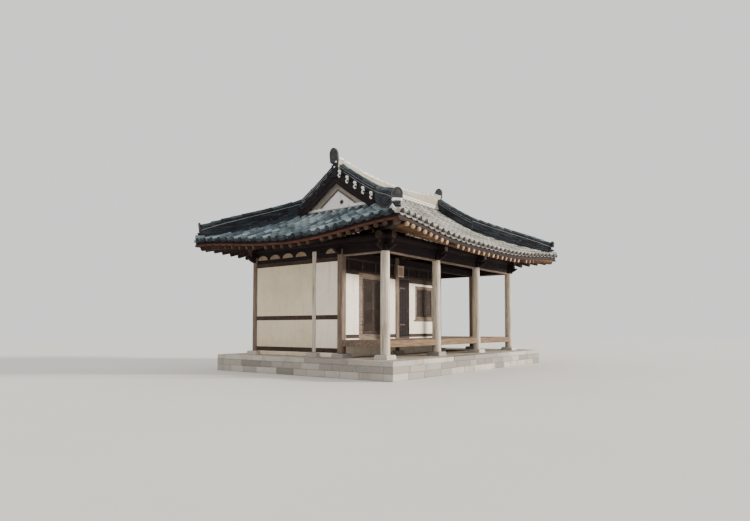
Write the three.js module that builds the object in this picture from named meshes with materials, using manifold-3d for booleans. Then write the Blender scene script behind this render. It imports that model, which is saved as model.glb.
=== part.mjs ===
// A Korean hanok house with a hip-and-gable tiled roof: three bays long, one room and a veranda deep.
// Millimetres, +Z up. The origin is on the ground under the middle of the house. The veranda faces -Y,
// the end with the closed wall is at -X, and the open hall is the bay at +X.
import * as THREE from "three";
import { mergeVertices } from "three/addons/utils/BufferGeometryUtils.js";
import Module from "manifold-3d";

const wasm = await Module();
wasm.setup();

// Plan
const BAY = 2424;
const BAYS = 3;
const DEPTH = 4620;
const VERANDA = 1380;
const END_POST_SETBACK = 2290;
const HALF_LENGTH = (BAY * BAYS) / 2;
const HALF_DEPTH = DEPTH / 2;
const LINES = [-HALF_LENGTH, -HALF_LENGTH + BAY, HALF_LENGTH - BAY, HALF_LENGTH];
const FRONT = -HALF_DEPTH;
const INNER = FRONT + VERANDA;
const BACK = HALF_DEPTH;
const GAP = 0.3;

// Heights above the ground
const PLATFORM_TOP = 450;
const PLATFORM_MARGIN = 780;
const BASE_STONE = { half: 210, height: 100, sink: 20 };
const POST_FOOT = PLATFORM_TOP + BASE_STONE.height;
const FLOOR_TOP = 900;
const TIE = { bottom: 3045, height: 200, width: 110 };
const POST_TOP = TIE.bottom + TIE.height;

// Timbers
const COLUMN_RADIUS = 120;
const COLUMN_SIDES = 20;
const POST = 170;
const SMALL_POST = 140;
const WALL = 120;
const PURLIN_RADIUS = 110;
const PURLIN_SIDES = 10;
const PURLIN_STRIP = { width: 100, height: 100, lap: 20 };
const PURLIN_END = 270;
const CROSSBEAM = { width: 180, height: 240, head: 330, seat: 170 };
const RAFTER = { radius: 60, pitch: BAY / 8, sides: 6, clear: 20, head: 80, lap: 40, foot: 60 };
const FAN = { count: 8, start: 0.3, corner: 180 };
const CORNER_BEAM = { half: 80, depth: 235, start: 200, setback: 170, slant: 50, rise: 12, steps: 7 };
const TRUSS = {
  post: { width: 160, depth: 200 },
  beam: { width: 180, height: 200, drop: 60, reach: 200 },
  king: { width: 100, depth: 260, sink: 20 },
};
const DECK = 25;
const DECK_HEAD = 75;
const BEDDING = 15;

// Roof: heights of the tile surface over the distance from the ridge line
const RIDGE_BASE = 5500;
const RIDGE_SLOPE = 0.75;
const ROOF_SAG = 0.0000535;
const CORNER_REACH = 1350;
const EAVE_REACH = 1150;
const CORNER = { x: HALF_LENGTH + CORNER_REACH, y: HALF_DEPTH + CORNER_REACH };
const EAVE = { x: HALF_LENGTH + EAVE_REACH, y: HALF_DEPTH + EAVE_REACH };
const EAVE_BEND = 3;
const LIFT = 290;
const LIFT_SPREAD = 1500;
const HIP_SHIFT = CORNER.x - CORNER.y;
const VERGE = HALF_LENGTH - 780;
const GABLE = VERGE - 220;
const HIP_TOP = VERGE - HIP_SHIFT;
const VERGE_THICK = 150;
const VERGE_STEP = 1;
const SKIRT_INSET = 250;
const EDGE_THICK = 110;
const EAVE_STRIP = { inner: 190, outer: 110, drop: 40, clear: 8 };

// Gable ends
const GABLE_WALL = { face: 2, back: 54, reach: 1095, foot: 4300, steps: 6 };
const BARGEBOARD = { width: 110, inner: 56, outer: 12, reach: 1330, steps: 8 };

// Rafter line: centre height over the eave purlin, and the two pitches either side of the middle purlin
const LOW_PITCH = 0.35;
const HIGH_PITCH = 0.8;
const PURLIN_HEIGHT = POST_TOP + PURLIN_STRIP.height + PURLIN_RADIUS;
const RAFTER_PASS = PURLIN_HEIGHT + (PURLIN_RADIUS + RAFTER.radius) * Math.hypot(1, LOW_PITCH) + GAP;
const MID_LINE = HALF_DEPTH - VERANDA;

// Ridges
const MAIN_RIDGE = { half: 130, middle: 310, rise: 260, bend: 2.2, end: 2880, depth: 100, steps: 14 };
const END_TILE = { half: 150, thick: 55, top: 6275, lean: 70, lap: 180 };
const SIDE_RIDGE = {
  half: 95,
  inset: 150,
  top: 450,
  crown: 75,
  foot: 330,
  end: 200,
  depth: { upper: 60, lower: 85 },
  steps: { upper: 4, lower: 6 },
};
const FOOT_TILE = { top: 420, lean: 50, wider: 10 };

const STYLE = {
  stone: { color: 0x8f8a80, roughness: 0.95 },
  column: { color: 0xb7a48d, roughness: 0.85 },
  timber: { color: 0x5d4636, roughness: 0.85 },
  rafter: { color: 0x7d5f45, roughness: 0.85 },
  plaster: { color: 0xd9d2c4, roughness: 0.95 },
  floor: { color: 0x84694c, roughness: 0.7 },
  door: { color: 0x6b5038, roughness: 0.8 },
  tile: { color: 0x4b5258, roughness: 0.85 },
};

// Solids
function solidOf(geometry) {
  const bare = geometry.index ? geometry.toNonIndexed() : geometry.clone();
  bare.deleteAttribute("normal");
  bare.deleteAttribute("uv");
  const merged = mergeVertices(bare, 1e-3);
  return new wasm.Manifold(
    new wasm.Mesh({
      numProp: 3,
      vertProperties: merged.attributes.position.array,
      triVerts: new Uint32Array(merged.index.array),
    }),
  );
}

function geometryOf(solid) {
  const mesh = solid.getMesh();
  const places = new Float32Array(mesh.numVert * 3);
  for (let i = 0; i < mesh.numVert; i++)
    places.set(mesh.vertProperties.subarray(i * mesh.numProp, i * mesh.numProp + 3), i * 3);
  const geometry = new THREE.BufferGeometry();
  geometry.setAttribute("position", new THREE.BufferAttribute(places, 3));
  geometry.setIndex(new THREE.BufferAttribute(mesh.triVerts, 1));
  geometry.computeVertexNormals();
  return geometry;
}

const join = (solids) => solids.reduce((whole, next) => whole.add(next));
const cut = (solid, tools) => tools.reduce((left, tool) => left.subtract(tool), solid);

function box([x0, x1], [y0, y1], [z0, z1]) {
  const geometry = new THREE.BoxGeometry(x1 - x0, y1 - y0, z1 - z0);
  return solidOf(geometry.translate((x0 + x1) / 2, (y0 + y1) / 2, (z0 + z1) / 2));
}

const around = (middle, width) => [middle - width / 2, middle + width / 2];

function cylinder(radius, from, to, sides) {
  const start = new THREE.Vector3(...from);
  const run = new THREE.Vector3(...to).sub(start);
  const geometry = new THREE.CylinderGeometry(radius, radius, run.length(), sides);
  geometry.translate(0, run.length() / 2, 0);
  const up = new THREE.Vector3(0, 1, 0);
  geometry.applyQuaternion(new THREE.Quaternion().setFromUnitVectors(up, run.normalize()));
  return solidOf(geometry.translate(...from));
}

// A plate whose outline is given as [across, height] and which lies between two distances along an axis.
function plate(outline, axis, [from, to]) {
  const shape = new THREE.Shape(outline.map(([a, z]) => new THREE.Vector2(a, z)));
  const geometry = new THREE.ExtrudeGeometry(shape, { depth: to - from, bevelEnabled: false });
  geometry.translate(0, 0, from);
  geometry.rotateX(Math.PI / 2);
  if (axis === "x") geometry.rotateZ(Math.PI / 2);
  else geometry.scale(1, -1, 1);
  const solid = geometry.index ? geometry.toNonIndexed() : geometry;
  return axis === "x" ? solidOf(solid) : solidOf(flipped(solid));
}

function flipped(geometry) {
  const places = geometry.attributes.position;
  for (let i = 0; i < places.count; i += 3) {
    const second = new THREE.Vector3().fromBufferAttribute(places, i + 1);
    const third = new THREE.Vector3().fromBufferAttribute(places, i + 2);
    places.setXYZ(i + 1, third.x, third.y, third.z);
    places.setXYZ(i + 2, second.x, second.y, second.z);
  }
  return geometry;
}

// A closed shell between two height fields over a grid: rows run down the slope, columns across it.
// place(row, column) gives [x, y, top, bottom].
function sheet(rows, columns, place) {
  const points = rows.map((r) => columns.map((c) => place(r, c)));
  const places = [];
  const quad = (a, b, c, d) => places.push(...a, ...b, ...c, ...a, ...c, ...d);
  const top = (r, c) => [points[r][c][0], points[r][c][1], points[r][c][2]];
  const low = (r, c) => [points[r][c][0], points[r][c][1], points[r][c][3]];
  const lastRow = rows.length - 1;
  const lastColumn = columns.length - 1;
  for (let r = 0; r < lastRow; r++)
    for (let c = 0; c < lastColumn; c++) {
      quad(top(r, c), top(r + 1, c), top(r + 1, c + 1), top(r, c + 1));
      quad(low(r, c), low(r, c + 1), low(r + 1, c + 1), low(r + 1, c));
    }
  for (let r = 0; r < lastRow; r++) {
    quad(top(r, 0), low(r, 0), low(r + 1, 0), top(r + 1, 0));
    quad(top(r + 1, lastColumn), low(r + 1, lastColumn), low(r, lastColumn), top(r, lastColumn));
  }
  for (let c = 0; c < lastColumn; c++) {
    quad(top(0, c + 1), low(0, c + 1), low(0, c), top(0, c));
    quad(top(lastRow, c), low(lastRow, c), low(lastRow, c + 1), top(lastRow, c + 1));
  }
  const geometry = new THREE.BufferGeometry();
  geometry.setAttribute("position", new THREE.Float32BufferAttribute(places, 3));
  return solidOf(geometry);
}

// Roof surface
const slopeHeight = (d) => RIDGE_BASE - RIDGE_SLOPE * d + ROOF_SAG * d * d;

function lift(x, y) {
  const toSide = CORNER.x - Math.abs(x);
  const toFront = CORNER.y - Math.abs(y);
  return LIFT * Math.exp(-(toSide ** 2 + toFront ** 2) / (2 * LIFT_SPREAD ** 2));
}

const bend = (along, corner, middle) =>
  middle.reach + (corner.reach - middle.reach) * Math.abs(along / corner.along) ** EAVE_BEND;
const eaveAt = {
  long: (x) => bend(x, { reach: CORNER.y, along: CORNER.x }, { reach: EAVE.y }),
  end: (y) => bend(y, { reach: CORNER.x, along: CORNER.y }, { reach: EAVE.x }),
};

function rafterHeight(d) {
  const low = RAFTER_PASS + LOW_PITCH * (HALF_DEPTH - Math.max(d, MID_LINE));
  return low + HIGH_PITCH * Math.max(0, MID_LINE - d);
}

const deckUnder = (d) => rafterHeight(d) + RAFTER.radius + RAFTER.clear;
const deckTop = (d) => deckUnder(d) + DECK;

// Rows below the head of the hips: share of the way down to the eave, with the eave strip's own rows.
const ROWS_BELOW = 6;

// One slope in its own axes: `across` runs along the eave and `down` away from the ridge.
function slopeFrame(side) {
  const turned = side === "left" || side === "right";
  const sign = side === "front" || side === "left" ? -1 : 1;
  const shift = turned ? HIP_SHIFT : 0;
  return {
    turned,
    corner: turned ? CORNER.y : CORNER.x,
    eave: (across) => (turned ? eaveAt.end(across) : eaveAt.long(across)) - shift,
    plan: (across, d) => (turned ? [sign * (d + shift), sign * across] : [-sign * across, sign * d]),
    sign,
  };
}

// Grid lines across one slope, as shares of its half width. On the long slopes a pair of lines a little
// apart lies either side of the gable wall, where the thick roof inside meets the thin verge outside.
function roofColumns(frame) {
  const step = [-VERGE_STEP, VERGE_STEP].map((side) => (GABLE + side) / (VERGE - 2 * VERGE_STEP));
  const half = [0, 0.3, 0.55, 0.75, ...(frame.turned ? [0.88] : step), 0.97, 1];
  return [...half.slice(1).map((v) => -v).reverse(), ...half];
}

// Place on a slope below the head of the hips: share across the slope and distance from the ridge line.
function belowHips(frame, share, way, setback) {
  const half = frame.turned ? 1 : VERGE / HIP_TOP;
  const headHalf = HIP_TOP * half;
  const footHalf = frame.corner;
  const eave = frame.eave(share * footHalf) - setback;
  const across = share * (headHalf + (footHalf - headHalf) * way - setback);
  return [across, HIP_TOP + way * (eave - HIP_TOP)];
}

function tileSlope(side, trim) {
  const frame = slopeFrame(side);
  const plateHalf = VERGE - 2 * VERGE_STEP;
  const columns = roofColumns(frame);
  const aboveRows = frame.turned
    ? [{ d: GABLE + GABLE_WALL.back - HIP_SHIFT }, { d: HIP_TOP - VERGE_STEP }]
    : [0, 0.3, 0.6, 0.85].map((v) => ({ d: v * HIP_TOP })).concat([{ d: HIP_TOP - VERGE_STEP }]);
  const belowRows = Array.from({ length: ROWS_BELOW }, (_, i) => ({ way: i / (ROWS_BELOW - 1) }));
  const rows = [
    ...aboveRows,
    ...belowRows.slice(0, -1),
    { way: 1, setback: EAVE_STRIP.inner + 2 },
    { way: 1, setback: EAVE_STRIP.inner + 1, edge: true },
    { way: 1, edge: true },
  ];
  return sheet(rows, columns, (row, share) => {
    let across, d;
    if (row.way === undefined) {
      d = row.d;
      across = share * (frame.turned ? d - SKIRT_INSET : plateHalf);
    } else {
      const setback = row.setback ?? 0;
      [across, d] = belowHips(frame, share * (1 - trim / frame.corner), row.way, setback);
    }
    const [x, y] = frame.plan(across, Math.max(d, trim));
    const top = slopeHeight(d) + lift(x, y);
    const overhang = row.way === undefined && !frame.turned && Math.abs(across) > GABLE;
    let bottom = deckTop(d) + lift(x, y) + (row.way === undefined ? BEDDING : 2 * GAP);
    if (overhang) bottom = top - VERGE_THICK;
    if (row.edge) bottom = top - EDGE_THICK;
    return [x, y, top, bottom];
  });
}

function deckSlope(side) {
  const frame = slopeFrame(side);
  const columns = roofColumns(frame);
  const aboveRows = frame.turned
    ? [{ d: MID_LINE + DECK_HEAD }, { d: HIP_TOP - VERGE_STEP }]
    : [0, 0.5, 0.999, 1]
        .map((v) => ({ d: v * MID_LINE, flush: v < 1 }))
        .concat([{ d: HIP_TOP - VERGE_STEP }]);
  const belowRows = Array.from({ length: ROWS_BELOW }, (_, i) => ({ way: i / (ROWS_BELOW - 1) }));
  const rows = [
    ...aboveRows,
    ...belowRows.slice(0, -1),
    { way: 1, setback: EAVE_STRIP.inner },
    { way: 1, setback: EAVE_STRIP.inner - 1, edge: true },
    { way: 1, setback: EAVE_STRIP.outer, edge: true },
  ];
  return sheet(rows, columns, (row, share) => {
    let across, d;
    if (row.way === undefined) {
      d = row.d;
      const half = row.flush ? GABLE - 4 : d + (frame.turned ? 0 : HIP_SHIFT);
      across = share * (half - GAP);
    } else [across, d] = belowHips(frame, share * (1 - GAP / frame.corner), row.way, row.setback ?? 0);
    const [x, y] = frame.plan(across, Math.max(d, GAP));
    const raise = lift(x, y);
    const top = row.edge ? slopeHeight(d) + raise - EDGE_THICK - EAVE_STRIP.clear : deckTop(d) + raise;
    return [x, y, top, deckUnder(d) + raise - (row.edge ? EAVE_STRIP.drop : 0)];
  });
}

// Straight rafters square to the eave, then a fan of them from the corner of the middle purlins.
function raftersOf(side) {
  const frame = slopeFrame(side);
  const straightHalf = frame.turned ? MID_LINE : MID_LINE + HIP_SHIFT;
  const runs = [];
  const count = Math.floor(straightHalf / RAFTER.pitch);
  const upper = frame.turned ? MID_LINE + RAFTER.head : GAP + RAFTER.radius;
  for (let i = -count; i < count; i++) {
    const across = (i + 0.5) * RAFTER.pitch;
    if (!frame.turned && i % 2 === 0) runs.push([[across, upper], [across, MID_LINE]]);
    const head = frame.turned ? upper : MID_LINE - RAFTER.lap;
    runs.push([[across, head], [across, frame.eave(across) - RAFTER.foot]]);
  }
  for (const way of [-1, 1])
    for (let i = 1; i <= FAN.count; i++) {
      const share = i / (FAN.count + 1);
      const foot = straightHalf + (frame.corner - FAN.corner - straightHalf) * share;
      const eave = frame.eave(foot) - RAFTER.foot;
      const across = straightHalf + (foot - straightHalf) * FAN.start;
      const head = MID_LINE + (eave - MID_LINE) * FAN.start;
      runs.push([[way * across, head], [way * foot, eave]]);
    }
  const place = ([across, d]) => {
    const [x, y] = frame.plan(across, d);
    return [x, y, rafterHeight(d) + lift(x, y)];
  };
  return runs.map(([a, b]) => cylinder(RAFTER.radius, place(a), place(b), RAFTER.sides));
}

// Corner beam along the hip, in the corner that the two signs name; `extra` widens it for cutting.
function cornerBeam(signX, signY, extra) {
  const { depth, slant, rise, steps } = CORNER_BEAM;
  const half = CORNER_BEAM.half + extra;
  const start = MID_LINE + CORNER_BEAM.start - extra;
  const end = CORNER.y - CORNER_BEAM.setback + extra;
  const outline = [];
  const heightAt = (d) => deckUnder(d) + lift(d + HIP_SHIFT, d) + rise;
  const way = (d) => d * Math.SQRT2;
  for (let i = 0; i <= steps; i++) {
    const d = start + ((end - start) * i) / steps;
    outline.push([way(d), heightAt(d) + extra]);
  }
  for (let i = steps; i >= 0; i--) {
    const d = start + ((end - start) * i) / steps - (i === steps ? slant : 0);
    outline.push([way(d), heightAt(d) - depth - extra]);
  }
  return onHip(plate(outline, "y", [-half, half]), signX, signY);
}

// Turns a plate drawn along X over the hip line of one corner.
function onHip(solid, signX, signY) {
  const turn = (Math.atan2(signY, signX) * 180) / Math.PI;
  return solid.rotate([0, 0, turn]).translate([signX * HIP_SHIFT, 0, 0]);
}

// The four slopes slightly widened, raised to cut what stands on them and lowered to cut what is under.
const SIDES = ["front", "back", "left", "right"];
const raisedTiles = SIDES.map((side) => tileSlope(side, -GAP).translate([0, 0, 2 * GAP]));
const loweredTiles = SIDES.map((side) => tileSlope(side, -GAP).translate([0, 0, -1.5 * GAP]));

// Lower structure
function stonePlatform() {
  const reachX = HALF_LENGTH + PLATFORM_MARGIN;
  const reachY = HALF_DEPTH + PLATFORM_MARGIN;
  const stones = postPlaces().map(([x, y]) =>
    box(
      around(x, 2 * BASE_STONE.half),
      around(y, 2 * BASE_STONE.half),
      [PLATFORM_TOP - BASE_STONE.sink, POST_FOOT],
    ),
  );
  return join([box([-reachX, reachX], [-reachY, reachY], [0, PLATFORM_TOP]), ...stones]);
}

const endPostY = FRONT + END_POST_SETBACK;

function postPlaces() {
  const rows = [FRONT, INNER, BACK].flatMap((y) => LINES.map((x) => [x, y]));
  return [...rows, [-HALF_LENGTH, endPostY]];
}

// Tie beams run along every post line at the same height, halved into one frame.
function tieBeams(extra = 0) {
  const width = TIE.width + 2 * extra;
  const levels = [TIE.bottom - extra, POST_TOP + extra];
  const long = [-HALF_LENGTH - TIE.width / 2, HALF_LENGTH + TIE.width / 2];
  const deep = [FRONT - TIE.width / 2, BACK + TIE.width / 2];
  const alongX = [FRONT, INNER, BACK].map((y) => box(long, around(y, width), levels));
  const alongY = [LINES[0], LINES[3]].map((x) => box(around(x, width), deep, levels));
  return join([...alongX, ...alongY]);
}

function slotted(post) {
  return cut(post, [tieBeams(GAP)]);
}

const roundColumn = (x, y) =>
  slotted(cylinder(COLUMN_RADIUS, [x, y, POST_FOOT + GAP], [x, y, POST_TOP], COLUMN_SIDES));

const squarePost = (x, y, size) =>
  slotted(box(around(x, size), around(y, size), [POST_FOOT + GAP, POST_TOP]));

const purlin = (from, to) => cylinder(PURLIN_RADIUS, from, to, PURLIN_SIDES);

// Eave purlins on their strips, crossed at the corners, with seats for the two crossbeams.
function eavePurlins() {
  const strip = [POST_TOP + GAP, POST_TOP + PURLIN_STRIP.height + PURLIN_STRIP.lap];
  const reachX = HALF_LENGTH + PURLIN_END;
  const reachY = HALF_DEPTH + PURLIN_END;
  const parts = [];
  for (const y of [FRONT, BACK]) {
    parts.push(box([-reachX, reachX], around(y, PURLIN_STRIP.width), strip));
    parts.push(purlin([-reachX, y, PURLIN_HEIGHT], [reachX, y, PURLIN_HEIGHT]));
  }
  for (const x of [LINES[0], LINES[3]]) {
    parts.push(box(around(x, PURLIN_STRIP.width), [-reachY, reachY], strip));
    parts.push(purlin([x, -reachY, PURLIN_HEIGHT], [x, reachY, PURLIN_HEIGHT]));
  }
  const seats = [LINES[1], LINES[2]].map((x) =>
    box(
      around(x, CROSSBEAM.width + 2 * GAP),
      [-reachY, reachY],
      [POST_TOP, POST_TOP + CROSSBEAM.seat + GAP],
    ),
  );
  return cut(join(parts), seats);
}

function crossbeam(x) {
  const reach = HALF_DEPTH + CROSSBEAM.head;
  const levels = [POST_TOP + GAP, POST_TOP + CROSSBEAM.height];
  const notches = [FRONT, BACK].map((y) =>
    box(
      around(x, 2 * CROSSBEAM.width),
      around(y, 2 * PURLIN_RADIUS + 2 * GAP),
      [POST_TOP + CROSSBEAM.seat, POST_TOP + 2 * CROSSBEAM.height],
    ),
  );
  return cut(box(around(x, CROSSBEAM.width), [-reach, reach], levels), notches);
}

// Middle purlins as a ring, the ridge purlin, and the short posts that carry them on the crossbeams.
function upperFrame() {
  const seat = (pitch) => (PURLIN_RADIUS + RAFTER.radius) * Math.hypot(1, pitch) + GAP;
  const midHeight = rafterHeight(MID_LINE) - seat(HIGH_PITCH);
  const ridgeHeight = rafterHeight(0) - seat(HIGH_PITCH);
  const reach = GABLE + 2 * GAP;
  const ringX = MID_LINE + HIP_SHIFT;
  const ringEnd = ringX + PURLIN_RADIUS;
  const { post, beam, king } = TRUSS;
  const beamTop = midHeight - beam.drop;
  const beamReach = MID_LINE + beam.reach;
  const crossTop = POST_TOP + CROSSBEAM.height + GAP;
  const parts = [purlin([-reach, 0, ridgeHeight], [reach, 0, ridgeHeight])];
  for (const y of [-MID_LINE, MID_LINE])
    parts.push(purlin([-ringEnd, y, midHeight], [ringEnd, y, midHeight]));
  for (const x of [-ringX, ringX])
    parts.push(purlin([x, -MID_LINE, midHeight], [x, MID_LINE, midHeight]));
  for (const x of [LINES[1], LINES[2]]) {
    for (const y of [-MID_LINE, MID_LINE])
      parts.push(box(around(x, post.width), around(y, post.depth), [crossTop, midHeight]));
    parts.push(box(around(x, beam.width), [-beamReach, beamReach], [beamTop - beam.height, beamTop]));
    parts.push(box(around(x, king.width), around(0, king.depth), [beamTop - king.sink, ridgeHeight]));
  }
  return join(parts);
}

// Walls
const wallTop = TIE.bottom - GAP;
const postFace = POST / 2 + GAP;

// Walls and the room's floor stand on the platform and step round the base stones.
function onPlatform(solid) {
  const width = 2 * (BASE_STONE.half + GAP);
  const stones = postPlaces().map(([x, y]) => box(around(x, width), around(y, width), [0, POST_FOOT + GAP]));
  return cut(solid, stones);
}

const endWall = (x, [y0, y1]) =>
  onPlatform(box(around(x, WALL), [y0, y1], [PLATFORM_TOP + GAP, wallTop]));
const longWall = ([x0, x1], y) =>
  onPlatform(box([x0, x1], around(y, WALL), [PLATFORM_TOP + GAP, wallTop]));

// First bay of the room: a pair of lattice doors in a frame
const DOOR = { left: 635, right: 1905, jamb: 165, bottom: 1040, top: 2519, head: 2680 };
const doorLeft = LINES[0] + DOOR.left;
const doorRight = LINES[0] + DOOR.right;
const LEAF = { thick: 36, clear: 7, rise: 6, meet: 3 };
const HINGE = { radius: 8, sides: 10, out: 9, height: 60, tab: 30, sink: 2, levels: [0.15, 0.8] };
const wallFace = INNER - WALL / 2;
const hingeY = wallFace - HINGE.out;

function frontWallLeft() {
  const side = box(
    [LINES[0] + postFace, doorLeft - GAP],
    around(INNER, WALL),
    [PLATFORM_TOP + GAP, DOOR.head],
  );
  const base = box(
    [LINES[0] + postFace, LINES[1] - postFace],
    around(INNER, WALL),
    [PLATFORM_TOP + GAP, FLOOR_TOP - GAP],
  );
  return onPlatform(join([side, base]));
}

const frontWallMiddle = () =>
  box([doorRight + GAP, LINES[1] - postFace], around(INNER, WALL), [FLOOR_TOP, DOOR.head]);

// A frame of four members around an opening, with the lower halves of its hinges.
function openingFrame([x0, x1], [z0, z1], opening, hinges) {
  const whole = box([x0, x1], around(INNER, WALL), [z0, z1]);
  const hole = box([opening.x0, opening.x1], around(INNER, 2 * WALL), [opening.z0, opening.z1]);
  return join([cut(whole, [hole]), ...hinges]);
}

// One half of a hinge: a short pin on the axis and the tab that holds it to a leaf or a frame.
function hingeHalf(axisX, z, tab) {
  const top = z + HINGE.height;
  const pin = cylinder(HINGE.radius, [axisX, hingeY, z], [axisX, hingeY, top], HINGE.sides);
  const span = [Math.min(axisX, tab), Math.max(axisX, tab)];
  return join([pin, box(span, [hingeY, wallFace + HINGE.sink], [z, top])]);
}

const hingeLevels = (leaf) => HINGE.levels.map((share) => leaf.z0 + share * (leaf.z1 - leaf.z0));

function leafOf(leaf) {
  const slab = box([leaf.x0, leaf.x1], [wallFace, wallFace + LEAF.thick], [leaf.z0, leaf.z1]);
  const inward = leaf.axis < (leaf.x0 + leaf.x1) / 2 ? HINGE.tab : -HINGE.tab;
  const above = HINGE.height + GAP;
  const halves = hingeLevels(leaf).map((z) => hingeHalf(leaf.axis, z + above, leaf.axis + inward));
  return join([slab, ...halves]);
}

function frameHinges(leaf) {
  const outward = leaf.axis < (leaf.x0 + leaf.x1) / 2 ? -HINGE.tab : HINGE.tab;
  return hingeLevels(leaf).map((z) => hingeHalf(leaf.axis, z, leaf.axis + outward));
}

const doorOpening = { x0: doorLeft + DOOR.jamb, x1: doorRight - DOOR.jamb, z0: DOOR.bottom, z1: DOOR.top };
const doorMiddle = (doorOpening.x0 + doorOpening.x1) / 2;
const leafLevels = { z0: DOOR.bottom + LEAF.rise, z1: DOOR.top - LEAF.rise };
const leftLeaf = {
  x0: doorOpening.x0 + LEAF.clear,
  x1: doorMiddle - LEAF.meet,
  axis: doorOpening.x0 + LEAF.clear / 2,
  ...leafLevels,
};
const rightLeaf = {
  x0: doorMiddle + LEAF.meet,
  x1: doorOpening.x1 - LEAF.clear,
  axis: doorOpening.x1 - LEAF.clear / 2,
  ...leafLevels,
};

// Second bay of the room: a plank door beside the post, then plaster with a lattice window
const PLANK = { jamb: 42, width: 478, sill: 60, top: 2617, head: 2700, lap: 20 };
const plankFrame = [LINES[1] + postFace, LINES[1] + postFace + PLANK.width + 2 * PLANK.jamb];
const plankOpening = {
  x0: plankFrame[0] + PLANK.jamb,
  x1: plankFrame[1] - PLANK.jamb,
  z0: FLOOR_TOP + PLANK.sill,
  z1: PLANK.top,
};
const plankLeaf = {
  x0: plankOpening.x0 + LEAF.clear,
  x1: plankOpening.x1 - LEAF.clear,
  axis: plankOpening.x0 + LEAF.clear / 2,
  z0: plankOpening.z0 + LEAF.rise,
  z1: plankOpening.z1 - LEAF.rise,
};
const WINDOW = { left: 966, width: 1050, sill: 1450, top: 2480, member: 90 };
const SASH = { front: 45, back: 10 };
const TRANSOM_THICK = 70;
const windowX = [LINES[1] + WINDOW.left, LINES[1] + WINDOW.left + WINDOW.width];

function frontWallRight() {
  const whole = box(
    [plankFrame[1] + GAP, LINES[2] - postFace],
    around(INNER, WALL),
    [PLATFORM_TOP + GAP, PLANK.head],
  );
  const hole = box(
    [windowX[0] - GAP, windowX[1] + GAP],
    around(INNER, 2 * WALL),
    [WINDOW.sill - GAP, WINDOW.top + GAP],
  );
  const base = box(
    [plankFrame[0], plankFrame[1] + PLANK.lap],
    around(INNER, WALL),
    [PLATFORM_TOP + GAP, FLOOR_TOP - GAP],
  );
  return onPlatform(join([cut(whole, [hole]), base]));
}

function windowFrame() {
  const opening = {
    x0: windowX[0] + WINDOW.member,
    x1: windowX[1] - WINDOW.member,
    z0: WINDOW.sill + WINDOW.member,
    z1: WINDOW.top - WINDOW.member,
  };
  return openingFrame(windowX, [WINDOW.sill, WINDOW.top], opening, []);
}

function windowSash() {
  const inset = WINDOW.member + GAP;
  return box(
    [windowX[0] + inset, windowX[1] - inset],
    [INNER - SASH.front, INNER - SASH.back],
    [WINDOW.sill + inset, WINDOW.top - inset],
  );
}

function transom(bay, bottom) {
  const span = [LINES[bay] + postFace, LINES[bay + 1] - postFace];
  return box(span, around(INNER, TRANSOM_THICK), [bottom + GAP, wallTop]);
}

// Floors
const FLOOR = { edge: 70, board: 55, beam: 170, lap: 10 };

function plankFloor() {
  const edge = FLOOR.edge;
  const board = [FLOOR_TOP - FLOOR.board, FLOOR_TOP];
  const beam = [FLOOR_TOP - FLOOR.beam, FLOOR_TOP];
  const outer = HALF_LENGTH + edge;
  const wallLine = INNER - WALL / 2 - GAP;
  const hallLeft = LINES[2] + WALL / 2 + GAP;
  const backLine = BACK - WALL / 2 - GAP;
  const parts = [
    box([-outer, outer], [FRONT - edge, wallLine], board),
    box([hallLeft, outer], [wallLine - FLOOR.lap, backLine], board),
    box([-outer, outer], [FRONT - edge, FRONT + edge], beam),
    box([-outer, -outer + 2 * edge], [FRONT - edge, wallLine], beam),
    box([outer - 2 * edge, outer], [FRONT - edge, backLine], beam),
  ];
  const columns = LINES.map((x) =>
    cylinder(COLUMN_RADIUS + GAP, [x, FRONT, POST_FOOT], [x, FRONT, POST_TOP], COLUMN_SIDES),
  );
  return cut(join(parts), [...columns, ...LINES.flatMap((x) => [postShaft(x, INNER), postShaft(x, BACK)])]);
}

// Room left around a square post for what is built against it.
function postShaft(x, y) {
  return box(around(x, 2 * postFace), around(y, 2 * postFace), [0, POST_TOP]);
}

function roomFloor() {
  const inner = WALL / 2 + GAP;
  const slab = box(
    [LINES[0] + inner, LINES[2] - inner],
    [INNER + inner, BACK - inner],
    [PLATFORM_TOP + GAP, FLOOR_TOP],
  );
  return onPlatform(cut(slab, postPlaces().map(([x, y]) => postShaft(x, y))));
}

// Gables
const profile = (x, drop, reach, steps) =>
  Array.from({ length: steps + 1 }, (_, i) => {
    const y = (reach * i) / steps;
    return [y, slopeHeight(y) + lift(x, y) - drop];
  });

function mirrored(half) {
  return [...half.map(([y, z]) => [-y, z]).reverse(), ...half.slice(1)];
}

// The two faces of a plate at one end of the house, the lower one first.
const facing = (sign, faces) => (sign > 0 ? faces : faces.map((v) => -v).reverse());

function gableWall(sign) {
  const { face, back, reach, foot, steps } = GABLE_WALL;
  const top = mirrored(profile(GABLE, VERGE_THICK + 2 * GAP, reach, steps));
  const outline = [[-reach, foot], [reach, foot], ...top.reverse()];
  return plate(outline, "x", facing(sign, [GABLE + face + GAP, GABLE + back - 2 * GAP]));
}

function bargeboards(sign) {
  const { width, inner, outer, reach, steps } = BARGEBOARD;
  const top = mirrored(profile(VERGE - inner, VERGE_THICK + 2 * GAP, reach, steps));
  const under = mirrored(profile(VERGE - inner, VERGE_THICK + width, reach, steps));
  const boards = plate([...under, ...top.reverse()], "x", facing(sign, [VERGE - inner, VERGE - outer]));
  return cut(boards, raisedTiles);
}

// Ridges: each is built a little deep, then cut by the tiles raised by the gap.
const ridgeTop = (x) =>
  RIDGE_BASE + MAIN_RIDGE.middle + MAIN_RIDGE.rise * Math.abs(x / MAIN_RIDGE.end) ** MAIN_RIDGE.bend;

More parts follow.
